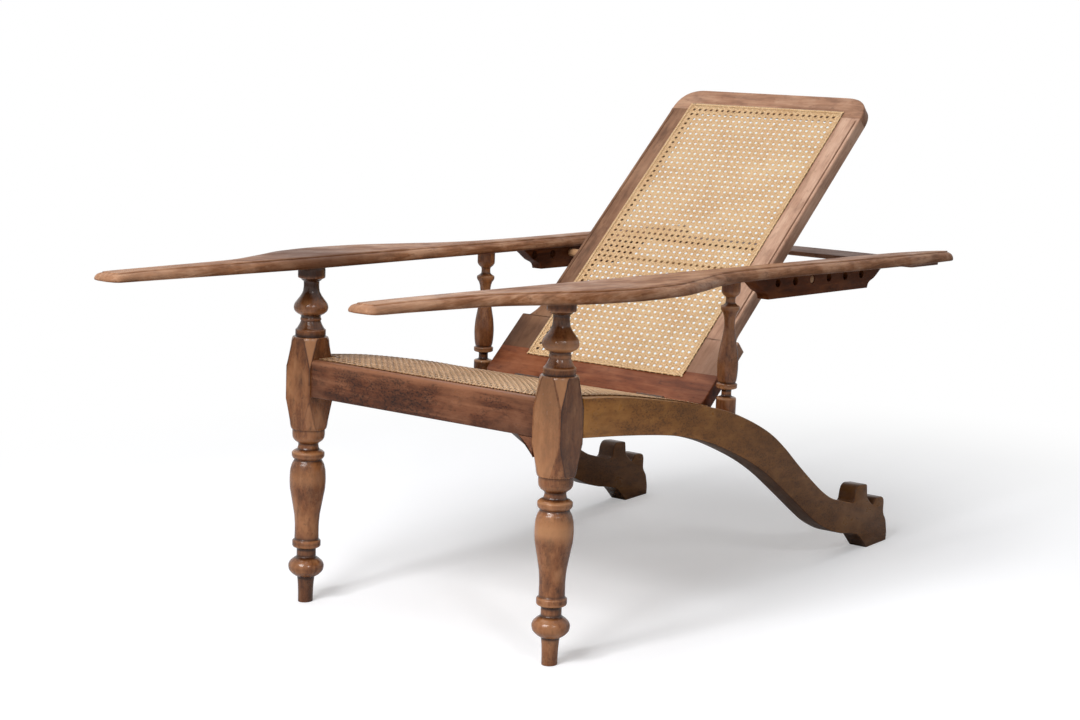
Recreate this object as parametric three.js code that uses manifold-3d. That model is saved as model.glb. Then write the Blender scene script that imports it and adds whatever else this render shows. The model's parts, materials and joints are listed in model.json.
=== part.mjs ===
// Planters chair: a long, low lounging chair in hardwood with caned seat and back.
// Millimetres, +Z up, the front of the chair towards -Y, the sitter's left towards +X.
// The frame is square in itself and leans back as a whole by the rake, so every piece
// is drawn in the upright frame, which the last lines tip about the front feet.

import * as THREE from 'three';
import { mergeVertices } from 'three/addons/utils/BufferGeometryUtils.js';
import Module from 'manifold-3d';

const wasm = await Module();
wasm.setup();

// Driving dimensions of the whole frame
const rake = THREE.MathUtils.degToRad(3.43);
const legSpacing = 590;
const legHeight = 628;
const seatFrontHeight = 459;
const postReach = 490;
const footReach = 1050;
const fitGap = 0.3;
const cutOverrun = 20;

// Front legs
const blockSide = 62;
const blockAboveRail = 39;
const blockBelowRail = 64;
const legTenonRadius = 11;
const legSides = 18;

// Front rail and the knee block beneath its left end
const frontRailDepth = 68;
const frontRailThickness = 30;
const frontRailInset = 4;
const frontRailRound = 6;
const railTenonThickness = 12;
const railTenonLength = 24;
const tenonShoulderShare = 0.15;
const kneeBlockSize = 34;
const kneeBlockThickness = 24;
const kneeCurveShare = 0.35;

// Side rails that run into the scrolled back legs
const sideRailThickness = 40;
const sideRailDepth = 68;
const footLength = 131;
const footHeight = 136;
const railEdge = 1.5;
const railSteps = 40;

// Rear seat rail
const rearRailThickness = 38;
const rearRailDepth = 50;
const rearRailTenonLength = 16;

// Cane
const caneThickness = 2;
const caneBorder = 12;

// Rear arm posts
const postSetIn = 29;
const postRadius = 19.5;
const postTenonRadius = 8;
const postTenonDepth = 18;
const postSides = 16;

// Arms
const armThickness = 21;
const armFrontLeft = 464;
const armFrontRight = 509;
const armRear = 1226;
const armTailSweep = 26;
const armTailLength = 235;
const armTipTaper = 5;
const armInnerX = 253.4;
const armToeOut = 0.03;
const armNarrow = 65;
const armWide = 151;
const armTenonDepth = 13;
const armSteps = 32;

// Slotted brackets and the rod that the back leans on
const bracketStartLeft = 534;
const bracketStartRight = 588;
const bracketEnd = 1007;
const bracketHeight = 42;
const bracketThickness = 26;
const bracketOgee = 62;
const holeCount = 6;
const holeRadius = 8.3;
const firstHole = 625;
const holePitch = 59;
const holeDrop = 13;
const rodRadius = 8;
const rodHoleCount = 3;
const rodSides = 16;

// Board across the rear ends of the arms
const crossBoardLength = 650;
const crossBoardWidth = 112;
const crossBoardThickness = 9;
const crossBoardRear = 1200;

// Reclining back
const backWidth = 468;
const backLength = 815;
const backThickness = 28;
const stileWidth = 59;
const topRailWidth = 58;
const bottomRailWidth = 70;
const earWidth = 31;
const earLength = 156;
const earStep = 20;
const backChamfer = 14;
const backCorner = 58;
const backEdge = 2;
const stileTenonLength = 28;
const beadWidth = 9;
const beadGrooveRadius = 1.6;

// Butt hinges between the rear seat rail and the back
const hingeReach = 453;
const hingeStandOff = 4.5;
const hingeSpacing = 300;
const hingeLength = 60;
const leafThickness = 1.9;
const leafDepth = 22;
const knuckleRadius = 4;
const pinRadius = 1.6;
const pinClearance = 0.15;
const pinHeadRadius = 2.8;
const pinHead = 1.2;

// Rounding of small curves, and the distance under which two corners are one
const cornerSteps = 5;
const knuckleSides = 12;
const weldDistance = 0.0005;
const sharpestCornerShare = 0.35;

// Derived frame sizes
const legX = legSpacing / 2;
const blockHalf = blockSide / 2;
const frontRailBottom = seatFrontHeight - frontRailDepth;
const blockTop = seatFrontHeight + blockAboveRail;
const blockBottom = frontRailBottom - blockBelowRail;
const railOuterX = legX + blockHalf;
const railInnerX = railOuterX - sideRailThickness;
const postX = railOuterX - postSetIn;
const frontRailFace = frontRailInset - blockHalf;

// Wood, cane and metal colours
const faded = { color: 0x8a6a50, roughness: 0.62, metalness: 0 };
const honey = { color: 0x80572f, roughness: 0.5, metalness: 0 };
const turned = { color: 0x7a4c30, roughness: 0.38, metalness: 0 };
const dark = { color: 0x4a2a1c, roughness: 0.45, metalness: 0 };
const redBrown = { color: 0x6a3e30, roughness: 0.5, metalness: 0 };
const straw = { color: 0xd8b98a, roughness: 0.55, metalness: 0 };
const iron = { color: 0x3b3632, roughness: 0.55, metalness: 0.8 };

const upright = new THREE.Group();
const back = new THREE.Group();

// A closed geometry as a solid, with shared corners merged
function solid(geometry) {
  const bare = geometry.clone();
  bare.deleteAttribute('normal');
  bare.deleteAttribute('uv');
  const merged = mergeVertices(bare, weldDistance);
  const mesh = new wasm.Mesh({
    numProp: 3,
    vertProperties: new Float32Array(merged.attributes.position.array),
    triVerts: new Uint32Array(merged.index.array),
  });
  return new wasm.Manifold(mesh);
}

// A solid as a geometry again
function geometryOf(body) {
  const mesh = body.getMesh();
  const geometry = new THREE.BufferGeometry();
  geometry.setAttribute('position', new THREE.BufferAttribute(new Float32Array(mesh.vertProperties), 3));
  geometry.setIndex(new THREE.BufferAttribute(new Uint32Array(mesh.triVerts), 1));
  geometry.computeVertexNormals();
  return geometry;
}

function addPiece(group, name, body, finish) {
  const mesh = new THREE.Mesh(geometryOf(body), new THREE.MeshStandardMaterial(finish));
  mesh.name = name;
  group.add(mesh);
  return mesh;
}

// A box between two opposite corners
function boxBetween(x0, x1, y0, y1, z0, z1) {
  const geometry = new THREE.BoxGeometry(x1 - x0, y1 - y0, z1 - z0);
  geometry.translate((x0 + x1) / 2, (y0 + y1) / 2, (z0 + z1) / 2);
  return solid(geometry);
}

// A round bar along X or Z
function barAlongX(radius, x0, x1, y, z, sides) {
  const geometry = new THREE.CylinderGeometry(radius, radius, x1 - x0, sides);
  geometry.rotateZ(Math.PI / 2);
  geometry.translate((x0 + x1) / 2, y, z);
  return solid(geometry);
}

function barAlongZ(radius, z0, z1, x, y, sides) {
  const geometry = new THREE.CylinderGeometry(radius, radius, z1 - z0, sides);
  geometry.rotateX(Math.PI / 2);
  geometry.translate(x, y, (z0 + z1) / 2);
  return solid(geometry);
}

// A turned piece that stands along Z, from [radius, height] pairs
function turnedSolid(profile, sides) {
  const points = profile.map(([radius, height]) => new THREE.Vector2(radius, height));
  const geometry = new THREE.LatheGeometry(points, sides);
  geometry.rotateX(Math.PI / 2);
  return solid(geometry);
}

// An outline with its corners rounded: each corner is [x, y, radius]
function roundedOutline(corners) {
  const points = [];
  const count = corners.length;
  for (let i = 0; i < count; i += 1) {
    const [x, y, radius] = corners[i];
    const here = new THREE.Vector2(x, y);
    if (radius === 0) {
      points.push(here);
      continue;
    }
    const before = corners[(i + count - 1) % count];
    const after = corners[(i + 1) % count];
    const into = new THREE.Vector2(before[0], before[1]).sub(here);
    const out = new THREE.Vector2(after[0], after[1]).sub(here);
    const reach = Math.min(radius, into.length() / 2, out.length() / 2);
    const start = here.clone().addScaledVector(into.normalize(), reach);
    const end = here.clone().addScaledVector(out.normalize(), reach);
    const curve = new THREE.QuadraticBezierCurve(start, here, end);
    points.push(...curve.getPoints(cornerSteps));
  }
  return points;
}

// A flat board from an outline, its edge moulded by [inset, height] steps
function mouldedBoard(outline, steps) {
  const points = outline.map((point) => point.clone());
  if (THREE.ShapeUtils.isClockWise(points)) points.reverse();
  const count = points.length;
  const normals = points.map((point, i) => {
    const before = points[(i + count - 1) % count];
    const after = points[(i + 1) % count];
    const a = point.clone().sub(before).normalize();
    const b = after.clone().sub(point).normalize();
    const tangent = a.clone().add(b).normalize();
    const stretch = 1 / Math.max(tangent.dot(b), sharpestCornerShare);
    return new THREE.Vector2(-tangent.y, tangent.x).multiplyScalar(stretch);
  });
  const positions = [];
  for (const [inset, height] of steps) {
    points.forEach((point, i) => {
      positions.push(point.x + normals[i].x * inset, point.y + normals[i].y * inset, height);
    });
  }
  const faces = THREE.ShapeUtils.triangulateShape(points, []);
  const index = [];
  const last = (steps.length - 1) * count;
  for (const [a, b, c] of faces) {
    index.push(a, c, b);
    index.push(last + a, last + b, last + c);
  }
  for (let ring = 0; ring < steps.length - 1; ring += 1) {
    for (let i = 0; i < count; i += 1) {
      const a = ring * count + i;
      const b = ring * count + (i + 1) % count;
      index.push(a, b, b + count);
      index.push(a, b + count, a + count);
    }
  }
  const geometry = new THREE.BufferGeometry();
  geometry.setAttribute('position', new THREE.Float32BufferAttribute(positions, 3));
  geometry.setIndex(index);
  return geometry;
}

// Edge steps of a board with plain eased edges, between two heights
function easedEdge(bottom, top, ease) {
  if (ease === 0) return [[0, bottom], [0, top]];
  return [[ease, bottom], [0, bottom + ease], [0, top - ease], [ease, top]];
}

// A board drawn in the YZ plane and given its thickness along X
function sideBoard(outline, x0, x1, ease) {
  const geometry = mouldedBoard(outline, easedEdge(x0, x1, ease));
  const turn = new THREE.Matrix4().makeBasis(
    new THREE.Vector3(0, 1, 0),
    new THREE.Vector3(0, 0, 1),
    new THREE.Vector3(1, 0, 0),
  );
  geometry.applyMatrix4(turn);
  return solid(geometry);
}

// A smooth curve through points given as shares of a width and a height
function shareCurve(shares, originX, width, height, steps) {
  const points = shares.map(([a, b]) => new THREE.Vector2(originX + a * width, b * height));
  return new THREE.SplineCurve(points).getPoints(steps);
}

function mirrored(body) {
  return body.mirror([1, 0, 0]);
}

// The floor, as a block to trim feet with
function floorBlock() {
  const span = footReach + armRear;
  const geometry = new THREE.BoxGeometry(span, span, footHeight);
  geometry.translate(0, footReach / 2, -footHeight / 2);
  geometry.rotateX(rake);
  return solid(geometry);
}

// Front leg: one turning from the foot peg to the tenon in the arm, with a square block
// left where the rails enter. Pairs are radius as a share of half the block's side, and
// height as a share of the turning's length.
const lowerTurningShares = [
  [0.445, 0], [0.523, 0.145],
  [0.66, 0.15], [0.88, 0.166], [1.03, 0.186], [1.065, 0.208], [1, 0.227], [0.81, 0.246], [0.577, 0.264],
  [0.577, 0.309],
  [0.8, 0.318], [0.85, 0.328], [0.85, 0.352], [0.73, 0.364],
  [0.72, 0.428], [0.755, 0.49], [0.855, 0.551], [0.97, 0.612], [1.06, 0.664], [1.08, 0.707],
  [1.06, 0.752], [0.955, 0.796], [0.825, 0.823],
  [0.89, 0.829], [0.975, 0.844], [0.98, 0.86], [0.87, 0.872], [0.66, 0.884],
  [0.6, 0.911],
  [0.645, 0.918], [0.84, 0.933], [0.95, 0.952], [0.97, 0.972], [0.97, 1],
];
const upperTurningShares = [
  [0.9, 0], [0.9, 0.1], [0.82, 0.116],
  [0.74, 0.146], [0.64, 0.192], [0.59, 0.231],
  [0.62, 0.239], [0.62, 0.262], [0.58, 0.273],
  [0.6, 0.3], [0.81, 0.331], [0.97, 0.369], [1.02, 0.415], [0.98, 0.462], [0.81, 0.523],
  [0.62, 0.585], [0.49, 0.654], [0.458, 0.723], [0.47, 0.785],
  [0.565, 0.8], [0.66, 0.823], [0.785, 0.835], [0.81, 0.855], [0.81, 0.94], [0.78, 1],
];
const blockShoulderShares = [[1, 0], [1.15, 0.08], [1.3, 0.165], [1.43, 0.265]];

function legProfile() {
  const profile = [[0, -cutOverrun]];
  profile.push([lowerTurningShares[0][0] * blockHalf, -cutOverrun]);
  for (const [r, h] of lowerTurningShares) profile.push([r * blockHalf, h * blockBottom]);
  const blockLength = blockTop - blockBottom;
  for (const [r, h] of blockShoulderShares) profile.push([r * blockHalf, blockBottom + h * blockLength]);
  for (const [r, h] of [...blockShoulderShares].reverse()) {
    profile.push([r * blockHalf, blockTop - h * blockLength]);
  }
  const neck = legHeight - fitGap - blockTop;
  for (const [r, h] of upperTurningShares) profile.push([r * blockHalf, blockTop + h * neck]);
  profile.push([legTenonRadius, legHeight - fitGap]);
  profile.push([legTenonRadius, legHeight + armTenonDepth - fitGap]);
  profile.push([0, legHeight + armTenonDepth - fitGap]);
  return profile;
}

function tenonHeights(bottom, top) {
  const shoulder = (top - bottom) * tenonShoulderShare;
  return [bottom + shoulder, top - shoulder];
}

function frontLeg() {
  let leg = turnedSolid(legProfile(), legSides);
  const far = blockSide + cutOverrun;
  const faces = [
    [blockHalf, far, -far, far],
    [-far, -blockHalf, -far, far],
    [-far, far, blockHalf, far],
    [-far, far, -far, -blockHalf],
  ];
  for (const [x0, x1, y0, y1] of faces) {
    leg = leg.subtract(boxBetween(x0, x1, y0, y1, blockBottom, blockTop));
  }
  leg = leg.translate([legX, 0, 0]);
  leg = leg.subtract(frontTenon(fitGap)).subtract(sideTenon(fitGap));
  return leg.subtract(floorBlock());
}

// Tenon of the front rail, in the inner face of the left leg
function frontTenon(gap) {
  const shoulder = legX - blockHalf;
  const middle = frontRailFace + frontRailThickness / 2;
  const half = railTenonThickness / 2 + gap;
  const [low, high] = tenonHeights(frontRailBottom, seatFrontHeight);
  const outer = shoulder + railTenonLength + gap;
  return boxBetween(shoulder - cutOverrun, outer, middle - half, middle + half, low - gap, high + gap);
}

// Tenon of the side rail, in the back face of the left leg
function sideTenon(gap) {
  const middle = (railInnerX + railOuterX) / 2;
  const half = railTenonThickness / 2 + gap;
  const [low, high] = tenonHeights(seatFrontHeight - sideRailDepth, seatFrontHeight);
  const inner = blockHalf - railTenonLength - gap;
  return boxBetween(middle - half, middle + half, inner, blockHalf + cutOverrun, low - gap, high + gap);
}

// Front rail with a rounded upper front edge
function frontRail() {
  const end = legX - blockHalf - fitGap;
  const rear = frontRailFace + frontRailThickness;
  const section = roundedOutline([
    [frontRailFace, frontRailBottom, railEdge],
    [rear, frontRailBottom, railEdge],
    [rear, seatFrontHeight, railEdge],
    [frontRailFace, seatFrontHeight, frontRailRound],
  ]);
  const tenon = frontTenon(0);
  return sideBoard(section, -end, end, 0).add(tenon).add(mirrored(tenon));
}

// Knee block under the left end of the front rail
function kneeBlock() {
  const side = legX - blockHalf - fitGap;
  const top = frontRailBottom - fitGap;
  const corner = kneeBlockSize * kneeCurveShare;
  const shape = new THREE.Shape();
  shape.moveTo(side, top);
  shape.lineTo(side - kneeBlockSize, top);
  shape.quadraticCurveTo(side - corner, top - corner, side, top - kneeBlockSize);
  const geometry = new THREE.ExtrudeGeometry(shape, {
    depth: kneeBlockThickness,
    bevelEnabled: false,
    curveSegments: cornerSteps,
  });
  geometry.rotateX(Math.PI / 2);
  geometry.translate(0, frontRailFace + kneeBlockThickness, 0);
  return solid(geometry);
}

// Side rail and scrolled back leg, sawn from one plank. Pairs are shares of the run from
// the front leg to the heel, and of the seat's front height.
const railTopShares = [
  [0, 1], [0.088, 0.984], [0.17, 0.96], [0.298, 0.913], [0.378, 0.876], [0.434, 0.844], [0.505, 0.786],
  [0.565, 0.723], [0.614, 0.651], [0.658, 0.575], [0.703, 0.501], [0.747, 0.434], [0.782, 0.392],
  [0.812, 0.371], [0.86, 0.345],
];
const railBottomShares = [
  [0, 0.852], [0.113, 0.832], [0.216, 0.808], [0.284, 0.784], [0.363, 0.741], [0.43, 0.688], [0.501, 0.621],
  [0.56, 0.551], [0.609, 0.481], [0.653, 0.416], [0.7, 0.346], [0.741, 0.29], [0.789, 0.244], [0.828, 0.22],
];
// Corners of the scroll foot as it stands on the floor: shares of its length back from its
// toe, of its height above the floor, and of its height again for the rounding
const footShares = [
  [0.03, 0.755, 0.06], [0.1, 1.01, 0.2], [0.395, 0.965, 0.03], [0.41, 0.76, 0.02], [0.575, 0.6, 0.05],
  [0.66, 0.71, 0.05], [0.91, 0.69, 0.11], [0.885, 0.43, 0.06], [0.965, 0.33, 0.06], [1, 0.13, 0.04],
  [0.97, -0.1, 0], [0.49, -0.1, 0], [0.17, 0.235, 0.09], [0, 0.29, 0.06],
];

const railRun = footReach * Math.cos(rake) - blockHalf;

function railTopCurve() {
  return shareCurve(railTopShares, blockHalf, railRun, seatFrontHeight, railSteps);
}

// Height of the rail's top edge at a distance back from the front legs
function railTopAt(reach) {
  const curve = railTopCurve();
  for (let i = 1; i < curve.length; i += 1) {
    const a = curve[i - 1];
    const b = curve[i];
    if (reach <= b.x) return THREE.MathUtils.mapLinear(reach, a.x, b.x, a.y, b.y);
  }
  return curve[curve.length - 1].y;
}

function sideRailOutline() {
  const top = railTopCurve();
  const bottom = shareCurve(railBottomShares, blockHalf, railRun, seatFrontHeight, railSteps).reverse();
  const toe = footReach - footLength;
  const origin = new THREE.Vector2();
  const corners = footShares.map(([along, up, rounding]) => {
    const corner = new THREE.Vector2(toe + along * footLength, up * footHeight).rotateAround(origin, rake);
    return [corner.x, corner.y, rounding * footHeight];
  });
  const start = top[top.length - 1];
  const end = bottom[0];
  const foot = roundedOutline([[start.x, start.y, 0], ...corners, [end.x, end.y, 0]]);
  const outline = [...top, ...foot.slice(1, -1), ...bottom];
  for (const point of outline) point.x = Math.max(point.x, blockHalf + fitGap);
  return outline;
}

function sideRail() {
  const board = sideBoard(sideRailOutline(), railInnerX, railOuterX, railEdge);
  const mortises = [rearRailTenon(fitGap), postSocket(postTenonRadius + fitGap, fitGap), floorBlock()];
  return board.add(sideTenon(0)).subtract(wasm.Manifold.union(mortises));
}

// Points along the seat's line, level over the front rail and then down the side rails
function seatLine(front, rear) {
  const along = railTopCurve().filter((point) => point.x > blockHalf && point.x < rear);
  const start = new THREE.Vector2(Math.min(front, blockHalf), seatFrontHeight);
  const bend = new THREE.Vector2(blockHalf, seatFrontHeight);
  return [start, bend, ...along, new THREE.Vector2(rear, railTopAt(rear))];
}

// Seat cane, a sheet over the tops of all four rails, notched around the legs
function seatCane() {
  const front = frontRailFace + frontRailThickness - caneBorder;
  const rear = rearRailBack - rearRailThickness + caneBorder;
  const line = seatLine(front, rear);
  const lower = line.map((point) => new THREE.Vector2(point.x, point.y + fitGap));
  const upper = line.map((point) => new THREE.Vector2(point.x, point.y + fitGap + caneThickness));
  const half = railInnerX + caneBorder;
  const sheet = sideBoard([...lower, ...upper.reverse()], -half, half, 0);
  const side = legX - blockHalf - caneThickness;
  const corner = boxBetween(side, half + cutOverrun, -legHeight, blockHalf + caneThickness, 0, legHeight);
  return sheet.subtract(corner).subtract(mirrored(corner));
}

// Rear seat rail, tenoned between the side rails; the hinges are screwed to its back
const rearRailBack = hingeReach - leafThickness - fitGap - fitGap;

function rearRailTenon(gap) {
  const top = railTopAt(rearRailBack);
  const [low, high] = tenonHeights(top - rearRailDepth, top);
  const middle = rearRailBack - rearRailThickness / 2;
  const half = railTenonThickness / 2 + gap;
  const outer = railInnerX + rearRailTenonLength + gap;
  return boxBetween(0, outer, middle - half, middle + half, low - gap, high + gap);
}

function rearRail() {
  const front = rearRailBack - rearRailThickness;
  const half = railInnerX - fitGap;
  const bottom = railTopAt(rearRailBack) - rearRailDepth;
  const section = [
    new THREE.Vector2(front, bottom),
    new THREE.Vector2(rearRailBack, bottom),
    new THREE.Vector2(rearRailBack, railTopAt(rearRailBack)),
    new THREE.Vector2(front, railTopAt(front)),
  ];
  const tenon = rearRailTenon(0);
  return sideBoard(section, -half, half, 0).add(tenon).add(mirrored(tenon));
}

// Rear arm post: pairs are radius as a share of the post's radius and height as a share of
// its length between the side rail and the arm
const postShares = [
  [0.95, -0.2], [0.95, 0.11], [0.88, 0.12], [0.6, 0.127],
  [0.48, 0.137], [0.47, 0.16], [0.5, 0.18],
  [0.8, 0.185], [0.98, 0.194], [0.99, 0.222], [0.82, 0.232],
  [0.88, 0.245], [0.97, 0.3], [1, 0.36], [0.93, 0.44], [0.72, 0.54], [0.54, 0.622], [0.5, 0.66],
  [0.55, 0.715],
  [0.69, 0.756], [0.82, 0.771], [0.9, 0.787], [0.89, 0.804], [0.67, 0.816],
  [0.47, 0.832], [0.45, 0.857], [0.49, 0.873],
  [0.67, 0.886], [0.87, 0.91], [0.89, 0.922], [0.89, 1],
];

// The round tenon at the post's foot, which runs down into the side rail
function postSocket(radius, gap) {
  const bottom = railTopAt(postReach) - postTenonDepth - gap;
  return barAlongZ(radius, bottom, railTopAt(postReach) + postRadius, postX, postReach, postSides);
}

function rearPost() {
  const base = railTopAt(postReach);
  const length = legHeight - fitGap - base;
  const profile = [[0, base + postShares[0][1] * length]];
  for (const [r, h] of postShares) profile.push([r * postRadius, base + h * length]);
  profile.push([postTenonRadius, legHeight - fitGap]);
  profile.push([postTenonRadius, legHeight + armTenonDepth - fitGap]);
  profile.push([0, legHeight + armTenonDepth - fitGap]);
  const post = turnedSolid(profile, postSides).translate([postX, postReach, 0]);
  const seat = railTopCurve().filter((point) => Math.abs(point.x - postReach) < sideRailDepth);
  const outline = seat.map((point) => new THREE.Vector2(point.x, point.y + fitGap));
  outline.push(new THREE.Vector2(outline[outline.length - 1].x, 0), new THREE.Vector2(outline[0].x, 0));
  const rail = sideBoard(outline, 0, railOuterX + postRadius, 0);
  return post.subtract(rail).add(postSocket(postTenonRadius, 0));
}

// Arm: the outer edge swells beside the sitter and narrows to the leg rest in front and
// the tail behind. Pairs are shares of the reach of the tail behind the front legs, and of
// the difference between the arm's narrow and wide widths.
const armSwellShares = [
  [-0.33, -0.02], [-0.245, 0.01], [-0.163, 0.08], [-0.082, 0.44], [0, 0.86], [0.082, 1], [0.163, 0.91],
  [0.245, 0.58], [0.327, 0.19], [0.41, 0], [0.53, -0.035], [0.69, 0.035], [0.855, 0.045], [0.955, -0.03],
];
// Corners of a rounded end: shares of the width from its inner edge, and of its length
const armTipShares = [[0.93, 0.62], [0.72, 0.92], [0.4, 1], [0.14, 0.85], [0, 0.5]];
// Thumbnail moulding around the edge: shares of the arm's thickness inwards and upwards
const armEdgeShares = [
  [0.1, 0], [0, 0.1], [0, 0.25], [0.07, 0.48], [0.2, 0.68], [0.4, 0.82], [0.6, 0.88], [0.64, 1],
];

function armInnerEdge(y) {
  const sweep = Math.max(0, (y - armRear + armTailLength) / armTailLength);
  return armInnerX + armToeOut * y + armTailSweep * sweep * sweep;
}

function armTip(corner, end) {
  const width = corner.x - armInnerEdge(corner.y);
  return armTipShares.map(([across, along]) => {
    const y = THREE.MathUtils.lerp(corner.y, end, along);
    return new THREE.Vector2(armInnerEdge(y) + across * width, y);
  });
}

function armOutline(armFront) {
  const swell = shareCurve(armSwellShares, 0, armRear, armWide - armNarrow, armSteps);
  const outer = swell
    .filter((point) => point.x > armNarrow - armFront)
    .map((point) => new THREE.Vector2(armInnerX + armToeOut * point.x + armNarrow + point.y, point.x));
  const corner = new THREE.Vector2(outer[0].x, armNarrow / 2 - armFront);
  outer.unshift(corner);
  const rearTip = armTip(outer[outer.length - 1], armRear);
  const bends = outer.filter((point) => point.y > armRear - armTailLength).reverse();
  const inner = bends.map((point) => new THREE.Vector2(armInnerEdge(point.y), point.y));
  return [...outer, ...rearTip, ...inner, ...armTip(corner, -armFront).reverse()];
}

function arm(armFront) {
  const steps = armEdgeShares.map(([inset, up]) => [inset * armThickness, legHeight + up * armThickness]);
  const board = solid(mouldedBoard(armOutline(armFront), steps));
  const depth = legHeight + armTenonDepth;
  const start = legHeight - cutOverrun;
  const legMortise = barAlongZ(legTenonRadius + fitGap, start, depth, legX, 0, legSides);
  const postMortise = barAlongZ(postTenonRadius + fitGap, start, depth, postX, postReach, postSides);
  return board.subtract(wasm.Manifold.union([legMortise, postMortise, armTaper(armFront)]));
}

// The wedge planed off the underside of the leg rest, from the leg to the tip
function armTaper(armFront) {
  const start = -armNarrow;
  const slope = armTipTaper / (armFront - armNarrow);
  const tip = start - armFront;
  const wedge = [
    new THREE.Vector2(start, legHeight),
    new THREE.Vector2(start, legHeight - armThickness),
    new THREE.Vector2(tip, legHeight - armThickness),
    new THREE.Vector2(tip, legHeight + slope * armFront),
  ];
  return sideBoard(wedge, 0, legX + armWide, 0);
}

// Bracket under the arm with the row of holes for the rod
const bracketOgeeShares = [[0, 0], [0.3, 0.25], [0.6, 0.55], [0.86, 0.7], [0.97, 0.86], [1, 1]];

function armBracket(bracketStart) {
  const top = legHeight - fitGap;
  const drop = (share) => top - share * bracketHeight;
  const front = bracketOgeeShares.map(([a, b]) => new THREE.Vector2(bracketStart + a * bracketOgee, drop(b)));
  const rear = bracketOgeeShares.map(([a, b]) => new THREE.Vector2(bracketEnd - a * bracketOgee, drop(b)));
  const outline = [...front, ...rear.reverse()];
  const x0 = postX - bracketThickness / 2;
  let bracket = sideBoard(outline, x0, x0 + bracketThickness, 0);
  for (let i = 0; i < holeCount; i += 1) {
    const y = firstHole + i * holePitch;
    const start = x0 - cutOverrun;
    const end = x0 + bracketThickness + cutOverrun;
    bracket = bracket.subtract(barAlongX(holeRadius, start, end, y, legHeight - holeDrop, rodSides));
  }
  return bracket;
}

const rodY = firstHole + (rodHoleCount - 1) * holePitch;
const rodZ = legHeight - holeDrop;
const rodHalf = postX + bracketThickness / 2;

// Thin board screwed beneath the rear ends of both arms
function crossBoard() {
  const half = crossBoardLength / 2;
  const outline = roundedOutline([
    [-half, crossBoardRear - crossBoardWidth, crossBoardThickness],
    [half, crossBoardRear - crossBoardWidth, crossBoardThickness],
    [half, crossBoardRear, crossBoardThickness],
    [-half, crossBoardRear, crossBoardThickness],
  ]);
  const top = legHeight - fitGap;
  return solid(mouldedBoard(outline, easedEdge(top - crossBoardThickness, top, railEdge)));
}

// Back frame, drawn flat: X across, Y up the back from the hinge axis, its front face
// just behind that axis
const backFace = -hingeStandOff;
const backEnd = leafThickness + fitGap + fitGap;
const railJoint = backEnd + bottomRailWidth;
const topJoint = backEnd + backLength - topRailWidth;

function backBoard(outline) {
  return solid(mouldedBoard(outline, easedEdge(backFace - backThickness, backFace, backEdge)));
}

// Tenons on the ends of the left stile
function stileTenons(gap) {
  const middle = (backWidth - stileWidth) / 2;
  const half = stileWidth / 4 + gap;
  const low = railJoint - stileTenonLength - gap;
  const high = topJoint + stileTenonLength + gap;
  const depth = backFace - backThickness / 2;
  const cheek = railTenonThickness / 2 + gap;
  return boxBetween(middle - half, middle + half, low, high, depth - cheek, depth + cheek);
}

// Groove that sets off a bead along the stile's outer edge, from above the ear to the top
function beadGroove() {
  const start = backEnd + earLength + earStep + beadWidth;
  const end = topJoint - beadWidth;
  const groove = new THREE.CylinderGeometry(beadGrooveRadius, beadGrooveRadius, end - start, knuckleSides);
  groove.translate(backWidth / 2 - beadWidth, (start + end) / 2, backFace);
  return solid(groove);
}

function backStile() {
  const outer = backWidth / 2;
  const inner = outer - stileWidth;
  const ear = outer + earWidth;
  const earTop = backEnd + earLength;
  const bottom = railJoint + fitGap;
  const top = topJoint - fitGap;
  const outline = roundedOutline([
    [inner, bottom, 0],
    [ear, bottom, 0],
    [ear, earTop, backEdge],
    [outer + earWidth / 2, earTop - earStep / 4, earStep / 2],
    [outer, earTop + earStep, earStep],
    [outer, top, 0],
    [inner, top, 0],
  ]);
  return backBoard(outline).add(stileTenons(0)).subtract(beadGroove());
}

function backTopRail() {
  const half = backWidth / 2;
  const top = backEnd + backLength;
  const outline = roundedOutline([
    [-half, topJoint, 0],
    [half, topJoint, 0],
    [half, top, backCorner],
    [-half, top, backCorner],
  ]);
  const mortise = stileTenons(fitGap);
  return backBoard(outline).subtract(mortise).subtract(mirrored(mortise));
}

function backBottomRail() {
  const half = backWidth / 2 + earWidth;
  const outline = roundedOutline([
    [-half, backEnd, backChamfer],
    [half, backEnd, backChamfer],
    [half, railJoint, 0],
    [-half, railJoint, 0],
  ]);
  const mortise = stileTenons(fitGap);
  return backBoard(outline).subtract(mortise).subtract(mirrored(mortise));
}

// Back cane, a sheet over the front of the frame around the opening
function backCane() {
  const half = backWidth / 2 - stileWidth + caneBorder;
  const low = railJoint - caneBorder;
  const high = topJoint + caneBorder;
  const face = backFace + fitGap;
  return boxBetween(-half, half, low, high, face, face + caneThickness);
}

// Butt hinge: two outer knuckles on the seat leaf, the middle one on the back leaf
const knuckleLength = hingeLength / 3;

function hingeLeaf(x, knuckles, side) {
  const start = x - hingeLength / 2;
  const top = -knuckleRadius - fitGap - fitGap;
  const near = side * (fitGap + leafThickness);
  const y0 = Math.min(near, side * fitGap);
  const y1 = Math.max(near, side * fitGap);
  let leaf = boxBetween(start, start + hingeLength, y0, y1, -leafDepth, top);
  for (const place of knuckles) {
    const x0 = start + place * knuckleLength + (place > 0 ? fitGap / 2 : 0);
    const x1 = start + (place + 1) * knuckleLength - (place < 2 ? fitGap / 2 : 0);
    leaf = leaf.add(boxBetween(x0, x1, y0, y1, top - leafThickness, 0));
    leaf = leaf.add(barAlongX(knuckleRadius, x0, x1, 0, 0, knuckleSides));
  }
  const bore = pinRadius + pinClearance;
  const far = start + hingeLength + cutOverrun;
  return leaf.subtract(barAlongX(bore, start - cutOverrun, far, 0, 0, knuckleSides));
}

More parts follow.
